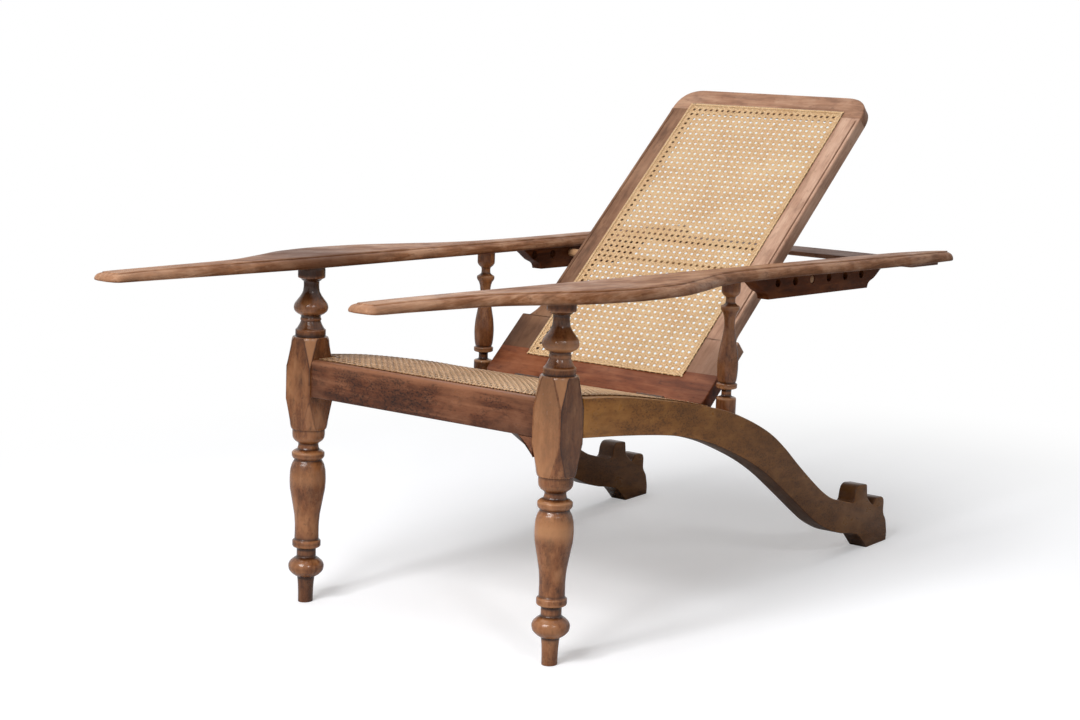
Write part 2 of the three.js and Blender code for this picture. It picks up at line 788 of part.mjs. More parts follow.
function hingePin(x) {
  const start = x - hingeLength / 2 - fitGap;
  const end = x + hingeLength / 2 + fitGap;
  const pin = barAlongX(pinRadius, start, end, 0, 0, knuckleSides);
  const heads = [[start - pinHead, start], [end, end + pinHead]];
  return heads.reduce((body, [a, b]) => body.add(barAlongX(pinHeadRadius, a, b, 0, 0, knuckleSides)), pin);
}

const hingeZ = railTopAt(hingeReach) + hingeStandOff;

// The back leans on the rod: its angle follows from where the rod and the hinge are
const rodDistance = Math.hypot(rodY - hingeReach, rodZ - hingeZ);
const rodClimb = Math.atan2(rodZ - hingeZ, rodY - hingeReach);
const rodOffset = rodRadius + fitGap + backThickness + hingeStandOff;
const backAngle = rodClimb + Math.asin(rodOffset / rodDistance);

const sides = [
  ['left', (body) => body, armFrontLeft, bracketStartLeft],
  ['right', mirrored, armFrontRight, bracketStartRight],
];
for (const [side, place, armFront, bracketStart] of sides) {
  addPiece(upright, `front_leg_${side}`, place(frontLeg()), turned);
  addPiece(upright, `side_rail_${side}`, place(sideRail()), honey);
  addPiece(upright, `rear_post_${side}`, place(rearPost()), turned);
  addPiece(upright, `arm_${side}`, place(arm(armFront)), faded);
  addPiece(upright, `arm_bracket_${side}`, place(armBracket(bracketStart)), dark);
  addPiece(back, `back_stile_${side}`, place(backStile()), faded);
}
addPiece(upright, 'front_rail', frontRail(), redBrown);
addPiece(upright, 'knee_block', kneeBlock(), dark);
addPiece(upright, 'rear_seat_rail', rearRail(), honey);
addPiece(upright, 'seat_cane', seatCane(), straw);
addPiece(upright, 'rear_cross_board', crossBoard(), faded);
addPiece(upright, 'support_rod', barAlongX(rodRadius, -rodHalf, rodHalf, rodY, rodZ, rodSides), dark);
addPiece(back, 'back_top_rail', backTopRail(), faded);
addPiece(back, 'back_bottom_rail', backBottomRail(), redBrown);
addPiece(back, 'back_cane', backCane(), straw);

for (const [side, x] of [['left', hingeSpacing / 2], ['right', -hingeSpacing / 2]]) {
  const seatLeaf = addPiece(upright, `hinge_seat_leaf_${side}`, hingeLeaf(x, [0, 2], -1), iron);
  const pin = addPiece(upright, `hinge_pin_${side}`, hingePin(x), iron);
  for (const piece of [seatLeaf, pin]) piece.position.set(0, hingeReach, hingeZ);
  addPiece(back, `hinge_back_leaf_${side}`, hingeLeaf(x, [1], 1), iron);
}

back.position.set(0, hingeReach, hingeZ);
back.rotation.x = backAngle;
upright.add(back);
upright.rotation.x = -rake;

// The origin is on the floor under the middle of the chair
const chair = new THREE.Group();
chair.add(upright);
chair.updateMatrixWorld(true);
const bounds = new THREE.Box3().setFromObject(chair, true);
chair.position.y = -(bounds.min.y + bounds.max.y) / 2;

export default chair;
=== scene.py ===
import json
import math

import bmesh
import bpy
import numpy as np
from mathutils import Matrix, Vector


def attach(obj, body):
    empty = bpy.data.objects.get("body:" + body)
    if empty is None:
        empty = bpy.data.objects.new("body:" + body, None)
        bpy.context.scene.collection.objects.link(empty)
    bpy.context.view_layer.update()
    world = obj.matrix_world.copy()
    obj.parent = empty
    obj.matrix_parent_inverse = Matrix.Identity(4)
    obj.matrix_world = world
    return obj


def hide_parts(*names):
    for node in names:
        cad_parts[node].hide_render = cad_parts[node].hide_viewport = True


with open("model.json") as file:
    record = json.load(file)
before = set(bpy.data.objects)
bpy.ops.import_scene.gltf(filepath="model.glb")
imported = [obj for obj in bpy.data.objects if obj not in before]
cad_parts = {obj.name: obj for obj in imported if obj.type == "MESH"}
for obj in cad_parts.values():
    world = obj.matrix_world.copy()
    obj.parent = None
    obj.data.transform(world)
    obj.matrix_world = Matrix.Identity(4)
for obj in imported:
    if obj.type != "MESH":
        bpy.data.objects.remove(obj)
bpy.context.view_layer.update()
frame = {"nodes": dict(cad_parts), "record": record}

# ---------------------------------------------------------------- Studio
# A plain pale floor, a white surround and soft light from large lamps, seen from the front
# left of the sitter, a little above the arms.
mounts = {mount["name"]: mount for mount in frame["record"]["mounts"]}
front_feet_y = mounts["front_foot_left"]["pos_m"][1]
camera_azimuth = math.radians(39.67)
camera_height_angle = math.radians(10.85)
camera_roll = math.radians(-0.24)
camera_lens = 75.49
camera_place = Vector((2.6439, -2.8536 + front_feet_y, 1.2359))
surround_light = 0.16
floor_half = 14
floor_gap = 0.0006
shadow_reach, shadow_end = 0.75, 1.9
floor_haze = 0.33


def linear(colour):
    """An sRGB hex colour as linear red, green, blue and alpha."""
    parts = [int(colour[i:i + 2], 16) / 255 for i in (1, 3, 5)]
    return [c / 12.92 if c <= 0.04045 else ((c + 0.055) / 1.055) ** 2.4 for c in parts] + [1]


def node(tree, kind, inputs=None, **settings):
    """Adds a node with its settings. Each input is given a value, or is linked to a socket or
    to the first output of another node."""
    made = tree.nodes.new(kind)
    for name, value in settings.items():
        setattr(made, name, value)
    for name, value in (inputs or {}).items():
        if isinstance(value, bpy.types.Node):
            value = value.outputs[0]
        if isinstance(value, bpy.types.NodeSocket):
            tree.links.new(value, made.inputs[name])
        else:
            made.inputs[name].default_value = value
    return made


def add_object(name, data):
    """An object with its data, in the scene."""
    made = bpy.data.objects.new(name, data)
    bpy.context.collection.objects.link(made)
    return made


def add_mesh(name, points, faces, edges=()):
    """A mesh object in the scene."""
    mesh = bpy.data.meshes.new(name)
    mesh.from_pydata([tuple(p) for p in points], edges, faces)
    return add_object(name, mesh)


def new_material(name):
    """A material with an empty node tree."""
    made = bpy.data.materials.new(name)
    made.use_nodes = True
    made.node_tree.nodes.clear()
    return made, made.node_tree


camera_data = bpy.data.cameras.new("camera")
camera_data.lens = camera_lens
camera_data.sensor_width = 36
camera_data.clip_end = 60
camera = add_object("camera", camera_data)
stance = Matrix.Translation(camera_place)
for angle, axis in ((camera_azimuth, "Z"), (math.pi / 2 - camera_height_angle, "X"), (camera_roll, "Z")):
    stance = stance @ Matrix.Rotation(angle, 4, axis)
camera.matrix_world = stance
bpy.context.scene.camera = camera
bpy.context.scene.view_settings.view_transform = "Standard"

for lamp_name, place, aim, size, power in (
    ("key_lamp", (0.4, -3.7, 3.5), (0.2, -0.2, 0.4), 2.0, 178),
    ("front_shine_lamp", (-0.5, -4.2, 3.3), (0, 0, 0.4), 0.6, 52),
    ("side_shine_lamp", (3.6, -2.1, 3.0), (0, 0, 0.4), 0.45, 28),
    ("top_lamp", (-0.5, 0.2, 4.2), (0, 0, 0.4), 3.4, 72),
):
    lamp_data = bpy.data.lights.new(lamp_name, "AREA")
    lamp_data.size = size
    lamp_data.energy = power
    lamp = add_object(lamp_name, lamp_data)
    lamp.location = place
    lamp.rotation_euler = (Vector(aim) - Vector(place)).to_track_quat("-Z", "Y").to_euler()

world = bpy.data.worlds.new("white_surround")
bpy.context.scene.world = world
world.use_nodes = True
tree = world.node_tree
tree.nodes.clear()
white = linear("#ffffff")
rays = node(tree, "ShaderNodeLightPath").outputs
seen = rays["Is Camera Ray"]
for ray in ("Is Glossy Ray", "Is Transmission Ray"):
    seen = node(tree, "ShaderNodeMath", {0: seen, 1: rays[ray]}, operation="MAXIMUM")
strength = node(tree, "ShaderNodeMapRange", {0: seen, 3: surround_light, 4: 1.0})
shine = node(tree, "ShaderNodeBackground", {"Color": white, "Strength": strength})
node(tree, "ShaderNodeOutputWorld", {"Surface": shine})

corners = [(x * floor_half, y * floor_half, 0) for x, y in ((-1, -1), (1, -1), (1, 1), (-1, 1))]
floor = add_mesh("floor", corners, [(0, 1, 2, 3)])
floor.location.z = -floor_gap
# The floor keeps the chair's shadow, under a thin haze, and turns white further out
paper, tree = new_material("white_paper_floor")
camera_ray = node(tree, "ShaderNodeLightPath").outputs["Is Camera Ray"]
place = node(tree, "ShaderNodeTexCoord").outputs["Object"]
distance = node(tree, "ShaderNodeVectorMath", {0: place}, operation="LENGTH").outputs["Value"]
fade = node(tree, "ShaderNodeMapRange", {
    0: distance, 1: shadow_reach, 2: shadow_end,
}, interpolation_type="SMOOTHSTEP")
fade = node(tree, "ShaderNodeMath", {0: fade, 1: camera_ray}, operation="MULTIPLY")
haze = node(tree, "ShaderNodeMath", {0: camera_ray, 1: floor_haze}, operation="MULTIPLY")
haze = node(tree, "ShaderNodeEmission", {"Color": white, "Strength": haze})
coat = node(tree, "ShaderNodeBsdfDiffuse", {"Color": linear("#dcdde0")})
coat = node(tree, "ShaderNodeAddShader", {0: coat, 1: haze})
glow = node(tree, "ShaderNodeEmission", {"Color": white, "Strength": 1.0})
blend = node(tree, "ShaderNodeMixShader", {0: fade, 1: coat, 2: glow})
node(tree, "ShaderNodeOutputMaterial", {"Surface": blend})
floor.data.materials.append(paper)

# ---------------------------------------------------------------- Front legs
# Each is one turning of reddish-brown hardwood, waxed and rubbed, with a square block left
# where the rails enter. The block's corners run out in lamb's tongues where the round of
# the turning meets the square. The foot peg is sawn flush with the floor.
rake = math.radians(3.43)
leg_x = 0.295
leg_height = 0.628
block_half = 0.031
block_low = 0.327
block_high = 0.498
arris = 0.0007
# Turnings are [radius, height] pairs, as shares of half the block and of the part's length
lower_turning = [
    [0.445, -0.03], [0.445, 0], [0.523, 0.143],
    [0.66, 0.15], [0.88, 0.166], [1.03, 0.186], [1.065, 0.208], [1, 0.227], [0.81, 0.246], [0.577, 0.264],
    [0.577, 0.309],
    [0.8, 0.318], [0.85, 0.328], [0.85, 0.352], [0.73, 0.364],
    [0.72, 0.428], [0.755, 0.49], [0.855, 0.551], [0.97, 0.612], [1.06, 0.664], [1.08, 0.707],
    [1.06, 0.752], [0.955, 0.796], [0.825, 0.823],
    [0.89, 0.829], [0.975, 0.844], [0.98, 0.86], [0.87, 0.872], [0.66, 0.884],
    [0.6, 0.911],
    [0.645, 0.918], [0.84, 0.933], [0.95, 0.952], [0.97, 0.972], [0.97, 0.996],
]
upper_turning = [
    [0.9, 0.01], [0.9, 0.1], [0.82, 0.116],
    [0.74, 0.146], [0.64, 0.192], [0.59, 0.231],
    [0.62, 0.239], [0.62, 0.262], [0.58, 0.273],
    [0.6, 0.3], [0.81, 0.331], [0.97, 0.369], [1.02, 0.415], [0.98, 0.462], [0.81, 0.523],
    [0.62, 0.585], [0.49, 0.654], [0.458, 0.723], [0.47, 0.785],
    [0.565, 0.8], [0.66, 0.823], [0.785, 0.835], [0.81, 0.855], [0.81, 0.94], [0.78, 0.999],
]
block_shoulders = [[1.04, 0], [1.15, 0.1], [1.25, 0.2], [1.36, 0.3], [1.41, 0.34]]
baluster_fullest = 0.236
vase_fullest = 0.42
neck_from = 0.52
bulb_top = 0.14
turning_step = 0.0016
groove_reach = 0.0056
groove_depth = 0.0022
flat_crowding, round_crowding = 1.5, 1.4
edge_from, tongue_from = math.radians(2), math.radians(5)
tongue_line = 0.0013
# A painted highlight on the upper tongues, and painted shade along the tongue edges above and below
tongue_highlight, upper_edge_shade, lower_edge_shade = 0.8, 0.8, 0.4
chair_turn = Matrix.Rotation(-rake, 3, "X")


def stand(points):
    """Points of the upright frame, placed as the chair stands: raked back about its front feet."""
    placed = np.asarray(points, float) @ np.array(chair_turn).T
    placed[:, 1] += front_feet_y
    return placed


def smooth_through(xs, ys, at):
    """A smooth curve through points with rising xs that never overshoots them."""
    xs, ys = np.asarray(xs, float), np.asarray(ys, float)
    step, slope = np.diff(xs), np.diff(ys) / np.diff(xs)
    tangent = np.zeros(len(xs))
    tangent[0], tangent[-1] = slope[0], slope[-1]
    same = slope[:-1] * slope[1:] > 0
    near, far = 2 * step[1:] + step[:-1], step[1:] + 2 * step[:-1]
    with np.errstate(divide="ignore", invalid="ignore"):
        mean = (near + far) / (near / slope[:-1] + far / slope[1:])
    tangent[1:-1] = np.where(same, mean, 0)
    i = np.clip(np.searchsorted(xs, at) - 1, 0, len(step) - 1)
    t = (at - xs[i]) / step[i]
    return (
        ys[i] * (1 + 2 * t) * (1 - t) ** 2 + tangent[i] * step[i] * t * (1 - t) ** 2
        + ys[i + 1] * t * t * (3 - 2 * t) + tangent[i + 1] * step[i] * t * t * (t - 1)
    )


def wooden_piece(name, points, faces, material, sharp=32, groove=None, crisp=()):
    """A mesh at its place, shaded smooth but for its arrises and the edges named crisp."""
    piece = add_mesh(name, points, faces)
    mesh = piece.data
    if groove is not None:
        tone_layer = mesh.attributes.new("groove", "FLOAT", "POINT")
        tone_layer.data.foreach_set("value", np.asarray(groove, np.float32))
    mesh.update()
    mesh.shade_smooth()
    mesh.set_sharp_from_angle(angle=math.radians(sharp))
    wanted = {tuple(sorted(pair)) for pair in crisp}
    for edge in mesh.edges if wanted else ():
        if tuple(sorted(edge.vertices)) in wanted:
            edge.use_edge_sharp = True
    mesh.materials.append(material)
    return piece


def belongs(piece, replaced, body="frame"):
    """Hides the solid that a piece stands for, and attaches the piece to the body it moves with."""
    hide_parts(replaced)
    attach(piece, body)


def edit_mesh(piece, *changes):
    """Makes changes to a piece's mesh, each a function of the mesh being edited."""
    shape = bmesh.new()
    shape.from_mesh(piece.data)
    for change in changes:
        change(shape)
    shape.to_mesh(piece.data)
    shape.free()


def close_holes(shape):
    """Puts a face over each opening of a mesh."""
    bmesh.ops.holes_fill(shape, edges=[edge for edge in shape.edges if edge.is_boundary], sides=0)


def turn_outward(shape):
    """Turns all faces to the outside."""
    bmesh.ops.recalc_face_normals(shape, faces=shape.faces)


def saw_at_floor(shape):
    """Takes off what lies below the floor."""
    everything = list(shape.verts) + list(shape.edges) + list(shape.faces)
    bmesh.ops.bisect_plane(shape, geom=everything, plane_co=(0, 0, 0), plane_no=(0, 0, 1), clear_inner=True)


def ring_faces(count, rings):
    """Faces of a closed shape from rings of points: its two ends and the strips between rings."""
    last = (rings - 1) * count
    faces = [tuple(range(count))[::-1], tuple(range(last, last + count))]
    for first in range(0, last, count):
        for k in range(count):
            a, b = first + k, first + (k + 1) % count
            faces.append((a, b, b + count, a + count))
    return faces


def turning(profile, sides, spacing, block=None):
    """Points, faces, groove depths and tongue edges of a turned piece on the Z axis, from
    [radius, height] pairs. A block is its half side and its lowest and highest height: four flat
    faces cut the turning there, and rows of points follow the edges where they meet it."""
    heights = []
    for (r0, h0), (r1, h1) in zip(profile, profile[1:]):
        count = max(1, math.ceil(math.hypot(r1 - r0, h1 - h0) / spacing))
        heights += list(np.linspace(h0, h1, count, endpoint=False))
    heights = np.array(heights + [profile[-1][1]])
    radius = smooth_through([h for r, h in profile], [r for r, h in profile], heights)
    # A groove is where the radius is less than its mean over 11 mm, and a crest where it is more
    window = np.linspace(-groove_reach, groove_reach, 9)
    around = np.mean([np.interp(heights + shift, heights, radius) for shift in window], 0)
    sunk = np.clip((around - radius) / groove_depth, -1, 1)
    # Round the axis, points crowd on both sides of the edge where a flat meets the round
    octant = sides // 8
    flat_part = octant // 2
    flat_steps = 1 - (1 - np.linspace(0, 1, flat_part, endpoint=False)) ** flat_crowding
    round_steps = np.linspace(0, 1, octant - flat_part, endpoint=False) ** round_crowding
    points, groove, tongue_rows = [], [], []
    for h, r, depth in zip(heights, radius, sunk):
        in_block = block and block[1] < h < block[2]
        edge, bound = math.pi / 8, 0
        if in_block:
            r = min(r, block[0] * math.sqrt(2) - arris)
            bound = math.acos(min(1, block[0] / r))
            edge = max(bound, edge_from)
        eighth = np.concatenate([edge * flat_steps, edge + (math.pi / 4 - edge) * round_steps])
        quarter = np.concatenate([eighth, math.pi / 2 - np.concatenate([[math.pi / 4], eighth[:0:-1]])])
        has_tongues = bound > tongue_from
        tongue_rows.append(has_tongues)
        for turn in range(4):
            for angle in quarter:
                nearest = min(angle, math.pi / 2 - angle)
                size = block[0] / math.cos(nearest) if in_block and nearest < bound else r
                around_axis = angle + turn * math.pi / 2
                points.append((size * math.cos(around_axis), size * math.sin(around_axis), h))
                if in_block:
                    # The tongues of the upper end get a painted highlight, and all have a line of painted
                    # shade along their edges
                    upper = h > (block[1] + block[2]) / 2
                    line = math.exp(-((nearest - edge) * r / tongue_line) ** 2) if has_tongues else 0
                    highlight_and_rub = -tongue_highlight if upper and nearest > edge and has_tongues else 0
                    depth = highlight_and_rub * (1 - line) + (upper_edge_shade if upper else lower_edge_shade) * line
                groove.append(depth)
    edges = []
    for row in range(len(heights) - 1):
        if tongue_rows[row] and tongue_rows[row + 1]:
            for corner in range(row * sides, (row + 1) * sides, sides // 4):
                edges += [(corner + k, corner + k + sides) for k in (flat_part, sides // 4 - flat_part)]
    return points, ring_faces(sides, len(heights)), np.array(groove), edges


def share_along(value, start, reach):
    """0 before a start, 1 past the reach from it, and even between. A reach below 0 runs down."""
    return np.clip((value - start) / reach, 0, 1)


def set_stops(ramp, first, last, *between):
    """Gives a colour ramp its [position, colour] stops."""
    stops = ramp.color_ramp.elements
    for stop, (position, colour) in zip(stops, (first, last)):
        stop.position, stop.color = position, colour
    for position, colour in between:
        stops.new(position).color = colour


def hardwood(
    name, deep, body, pale, grain, grime=0.35, rough=(0.3, 0.5), gleam=0.3, figure=0.014,
    pitted=0.0, streaky=1.0,
):
    """Waxed hardwood. The grain is a direction in the chair; deep, body and pale are the
    colours of its stains, its main colour and its rubbed high spots. grime is how much of it
    old wax and dirt cover, rough its least and greatest roughness, gleam how strongly it
    reflects, figure the width of its growth rings, pitted how pitted it is, and streaky how
    much its grain shows."""
    made, tree = new_material(name)
    deep, body, pale = linear(deep), linear(body), linear(pale)
    place = node(tree, "ShaderNodeTexCoord").outputs["Object"]
    turn = Vector(grain).rotation_difference(Vector((0, 0, 1))).to_euler()
    along = node(tree, "ShaderNodeMapping", {"Vector": place, "Rotation": turn})

    def grained(scale, detail, roughness=0.6, distortion=0.0):
        """Noise with features 1 / scale metres across, over x, y and the grain's direction."""
        where = node(tree, "ShaderNodeMapping", {"Vector": along, "Scale": scale})
        return node(tree, "ShaderNodeTexNoise", {
            "Vector": where, "Scale": 1.0, "Detail": detail,
            "Roughness": roughness, "Distortion": distortion,
        })

    def stained(colour, value, low, high, most, stain):
        """A colour with a stain laid over it where a value goes from low to high, by most at the end."""
        share = node(tree, "ShaderNodeMapRange", {0: value, 1: low, 2: high, 4: most})
        return node(tree, "ShaderNodeMix", {0: share, 6: colour, 7: stain}, data_type="RGBA").outputs[2]

    # Figure: growth rings sawn through, in bands of 10 to 20 mm that run 12 times as far
    rings = grained((1 / figure, 1 / figure, 0.08 / figure), 4.0, 0.6, 0.7)
    # Pores: short dark dashes 2 mm apart
    pores = grained((520, 520, 30), 2.0)
    # Patches of old wax and dirt 60 mm across, mottling of 20 mm, and stains of 5 to 10 mm
    patches = grained((17, 17, 10), 4.0)
    mottle = grained((58, 58, 24), 3.0)
    stains = grained((110, 110, 70), 3.0)
    ramp = node(tree, "ShaderNodeValToRGB", {0: rings})
    darker = [b + (d - b) * 0.42 * streaky for d, b in zip(deep, body)]
    lighter = [b + (p - b) * 0.55 * streaky for b, p in zip(body, pale)]
    set_stops(ramp, (0.3, darker), (0.7, lighter), (0.48, body))
    pores_dark = node(tree, "ShaderNodeMapRange", {0: pores, 1: 0.3, 2: 0.5, 3: 0.72, 4: 1.03})
    colour = node(tree, "ShaderNodeMix", {
        0: 0.6 * streaky, 6: ramp, 7: pores_dark,
    }, data_type="RGBA", blend_type="MULTIPLY").outputs[2]
    for value, low, high, most, stain in (
        (patches, 0.5, 0.3, 0.55, pale),
        (mottle, 0.46, 0.3, 0.7 * grime, pale),
        (mottle, 0.53, 0.7, 0.9 * grime, deep),
        (patches, 0.5, 0.72, grime, deep),
        (stains, 0.6, 0.74, 0.5, deep),
    ):
        colour = stained(colour, value, low, high, most, stain)
    if pitted:
        # Pits and worm tracks 1 to 4 mm across, thickest where the dirt is
        most = node(tree, "ShaderNodeMapRange", {0: patches, 1: 0.44, 2: 0.56, 4: pitted})
        colour = stained(colour, grained((300, 300, 190), 4.0, 0.75), 0.5, 0.58, most, linear("#1c0f09"))
    # Dark where the attribute is above 0, from wax left in the grooves of a turning and from painted shade,
    # and pale where it is below 0, from crests rubbed pale and from painted highlights
    groove = node(tree, "ShaderNodeAttribute", attribute_name="groove").outputs["Fac"]
    colour = stained(colour, groove, 0.08, 0.9, 0.85, deep)
    colour = stained(colour, groove, -0.15, -0.9, 0.7, pale)
    roughness = node(tree, "ShaderNodeMapRange", {0: patches, 1: 0.3, 2: 0.7, 3: rough[0], 4: rough[1]})
    height = node(tree, "ShaderNodeMath", {0: pores, 1: stains}, operation="ADD")
    bump = node(tree, "ShaderNodeBump", {"Height": height, "Strength": 0.35, "Distance": 0.0005})
    skin = node(tree, "ShaderNodeBsdfPrincipled", {
        "Base Color": colour, "Roughness": roughness, "Normal": bump,
        "IOR": 1.45, "Specular IOR Level": gleam,
    })
    node(tree, "ShaderNodeOutputMaterial", {"Surface": skin})
    return made


leg_wood = hardwood(
    "waxed_hardwood_turned", "#2a1409", "#7c4a28", "#b07d54", (0, math.sin(rake), math.cos(rake)),
    grime=0.5, rough=(0.15, 0.28), gleam=0.45, pitted=0.35, streaky=0.5,
)
block_length = block_high - block_low
neck = leg_height - block_high
leg_profile = [[r * block_half, h * block_low] for r, h in lower_turning]
leg_profile += [[r * block_half, block_low + h * block_length] for r, h in block_shoulders]
leg_profile += [[r * block_half, block_high - h * block_length] for r, h in reversed(block_shoulders)]
leg_profile += [[r * block_half, block_high + h * neck] for r, h in upper_turning]
sides = {"left": 1, "right": -1}
# How much shade is painted above the block, how much darker the foot is made, and how strong a highlight is
# painted on the baluster
vase_shade = {"left": 0, "right": 0.35}
foot_darkening = {"left": 0.2, "right": 0.5}
baluster_highlight = {"left": 1.0, "right": 0.5}
neck_shade, vase_highlight, block_front_highlight, block_side_shade = 0.5, 0.3, 0.55, 0.35
foot_fade, neck_fade, highlight_reach = 0.03, 0.02, 0.017
for side, sign in sides.items():
    block = (block_half, block_low, block_high)
    points, faces, groove, edges = turning(leg_profile, 144, turning_step, block)
    points = np.array(points)
    height = points[:, 2]
    groove += vase_shade[side] * (height > block_high)
    groove += foot_darkening[side] * share_along(height, bulb_top, -foot_fade)
    # Shade painted at the neck below the arm, and highlights painted where the vase and the baluster are
    # fullest
    groove += neck_shade * share_along(height, block_high + neck_from * neck, neck_fade)
    vase_height = block_high + vase_fullest * neck
    for fullest, amount in ((vase_height, vase_highlight), (baluster_fullest, baluster_highlight[side])):
        groove -= amount * np.exp(-((height - fullest) / highlight_reach) ** 2)
    if side == "left":
        # This block has a painted highlight on its front face and painted shade on its outer side
        flats = (height > block_low) & (height < block_high)
        groove[flats & (points[:, 1] < -block_half + arris)] -= block_front_highlight
        groove[flats & (points[:, 0] > block_half - arris)] += block_side_shade
    points = stand(points + (sign * leg_x, 0, 0))
    leg = wooden_piece(f"front_leg_{side}_turned", points, faces, leg_wood, 50, groove, edges)
    edit_mesh(leg, saw_at_floor, close_holes, turn_outward)
    belongs(leg, f"front_leg_{side}")

# ---------------------------------------------------------------- Front rail and knee block
# A straight rail of dark reddish hardwood, tenoned between the leg blocks, its upper front
# arris rounded by use and its lower half pitted. A small knee block of the same wood fills the
# corner beneath its left end.
seat_front = 0.459
rail_depth = 0.068
front_rail_face = -0.027
front_rail_thickness = 0.030
joint = 0.0003
edge_steps = 4
crisp_ease = 0.0012


def bend(start, middle, end, count):
    """Points of a curve that leaves its start towards the middle, and turns there to the end."""
    return [start * (1 - t) ** 2 + middle * 2 * t * (1 - t) + end * t * t for t in np.linspace(0, 1, count)]


def rounded_corners(corners, steps=6):
    """An outline with each [x, y, radius] corner rounded."""
    points = []
    for i, (x, y, radius) in enumerate(corners):
        here = Vector((x, y))
        if not radius:
            points.append(here)
            continue
        last, coming = corners[i - 1], corners[(i + 1) % len(corners)]
        into, out_of = Vector(last[:2]) - here, Vector(coming[:2]) - here
        reach = min(radius, into.length / (2 if last[2] else 1), out_of.length / (2 if coming[2] else 1))
        start, end = here + into.normalized() * reach, here + out_of.normalized() * reach
        points += bend(start, here, end, steps + 1)
    return np.array([tuple(p) for i, p in enumerate(points) if (p - points[i - 1]).length > 1e-6])


def worn_edge(low, high, ease):
    """Edge steps [inset, height] of a board with round arrises, from its lower to its upper face."""
    turns = np.linspace(0, math.pi / 2, edge_steps)
    lower = [[ease * (1 - math.sin(a)), low + ease * (1 - math.cos(a))] for a in turns]
    return lower + [[inset, low + high - height] for inset, height in reversed(lower)]


def board(outline, steps):
    """Points and faces of a flat board from an outline, its edge shaped by [inset, height] steps."""
    outline = np.asarray(outline, float)
    x, y = outline.T
    if np.sum(x * np.roll(y, -1) - np.roll(x, -1) * y) < 0:
        outline = outline[::-1]
    before, after = np.roll(outline, 1, 0), np.roll(outline, -1, 0)
    a = (outline - before) / np.linalg.norm(outline - before, axis=1)[:, None]
    b = (after - outline) / np.linalg.norm(after - outline, axis=1)[:, None]
    tangent = (a + b) / np.linalg.norm(a + b, axis=1)[:, None]
    stretch = 1 / np.maximum(np.sum(tangent * b, 1), 0.35)
    inward = np.stack([-tangent[:, 1], tangent[:, 0]], 1) * stretch[:, None]
    points = np.concatenate([
        np.column_stack([outline + inward * inset, np.full(len(outline), height)]) for inset, height in steps
    ])
    return points, ring_faces(len(outline), len(steps))


def on_edge(points):
    """A board drawn flat, stood on edge: drawn across as along the chair, up as up, thick as across."""
    return points[:, [2, 0, 1]]


rail_red = hardwood(
    "scuffed_hardwood_front_rail", "#221009", "#5b321d", "#875a40", (1, 0, 0),
    grime=0.6, rough=(0.26, 0.5), gleam=0.25, figure=0.012, pitted=0.9,
)
rail_low = seat_front - rail_depth
section = rounded_corners([
    [front_rail_face, rail_low, 0.003],
    [front_rail_face + front_rail_thickness, rail_low, 0.002],
    [front_rail_face + front_rail_thickness, seat_front, 0.003],
    [front_rail_face, seat_front, 0.008],
])
half = leg_x - block_half - joint
points, faces = board(section, [[0, x] for x in np.linspace(-half, half, 60)])
points = on_edge(points)
# The upper front arris is made paler, partly rubbed and partly a painted highlight, and the rail is darker
# towards its lower edge
highlight_and_rub = share_along(points[:, 2], seat_front - 0.01, 0.006)
darker_below = 0.4 * share_along(points[:, 2], rail_low + 0.02, -0.02)
front_rail = wooden_piece("front_rail_worn", stand(points), faces, rail_red, groove=darker_below - highlight_and_rub)
belongs(front_rail, "front_rail")

knee_size = 0.034
knee_bend = 0.35 * knee_size
knee_thickness = 0.024
knee_top = rail_low - joint
start, middle, end = (
    Vector((half - out, knee_top - down))
    for out, down in ((knee_size, 0), (knee_bend, knee_bend), (0, knee_size))
)
outline = [(half, knee_top)] + [tuple(p) for p in bend(start, middle, end, 14)]
points, faces = board(outline, worn_edge(front_rail_face, front_rail_face + knee_thickness, crisp_ease))
points, faces = stand(points[:, [0, 2, 1]]), [face[::-1] for face in faces]
belongs(wooden_piece("knee_block_cut", points, faces, rail_red), "knee_block")

# ---------------------------------------------------------------- Side rails
# Each is sawn from one honey-brown hardwood plank with its S-shaped back leg, and tenoned into
# the back of the leg block. The leg ends in a scroll foot with a lobe in front, a notch and a
# lobe behind. Arrises are worn round.
rail_outer = leg_x + block_half
rail_thickness = 0.040
rail_inner = rail_outer - rail_thickness
foot_reach = 1.050
foot_length = 0.131
foot_height = 0.136
rail_ease = 0.0022
rail_run = foot_reach * math.cos(rake) - block_half
# How much darker the rail grows towards the foot, and where
rail_darkening, darkening_from, darkening_reach = 0.6, 0.28, 0.36
# A painted highlight, with rubbing, on the left rail's top edge, and painted shade on the sawn edge
edge_highlight_and_rub, edge_shade = -0.8, 0.9
# [share of the run behind the leg, share of the seat's height], then the foot's corners as
# shares of its own length and height, each with the share it is rounded by
rail_top = [
    [0, 1], [0.088, 0.984], [0.17, 0.96], [0.298, 0.913], [0.378, 0.876], [0.434, 0.844], [0.505, 0.786],
    [0.565, 0.723], [0.614, 0.651], [0.658, 0.575], [0.703, 0.501], [0.747, 0.434], [0.782, 0.392],
    [0.812, 0.371], [0.86, 0.345],
]
rail_bottom = [
    [0, 0.852], [0.113, 0.832], [0.216, 0.808], [0.284, 0.784], [0.363, 0.741], [0.43, 0.688],
    [0.501, 0.621], [0.56, 0.551], [0.609, 0.481], [0.653, 0.416], [0.7, 0.346], [0.741, 0.29],
    [0.789, 0.244], [0.828, 0.22],
]
foot_corners = [
    [0.03, 0.755, 0.06], [0.1, 1.01, 0.2], [0.395, 0.965, 0.03], [0.41, 0.76, 0.02], [0.575, 0.6, 0.05],
    [0.66, 0.71, 0.05], [0.91, 0.69, 0.11], [0.885, 0.43, 0.06], [0.965, 0.33, 0.06], [1, 0.13, 0.04],
    [0.97, -0.1, 0], [0.49, -0.1, 0], [0.17, 0.235, 0.09], [0, 0.29, 0.06],
]


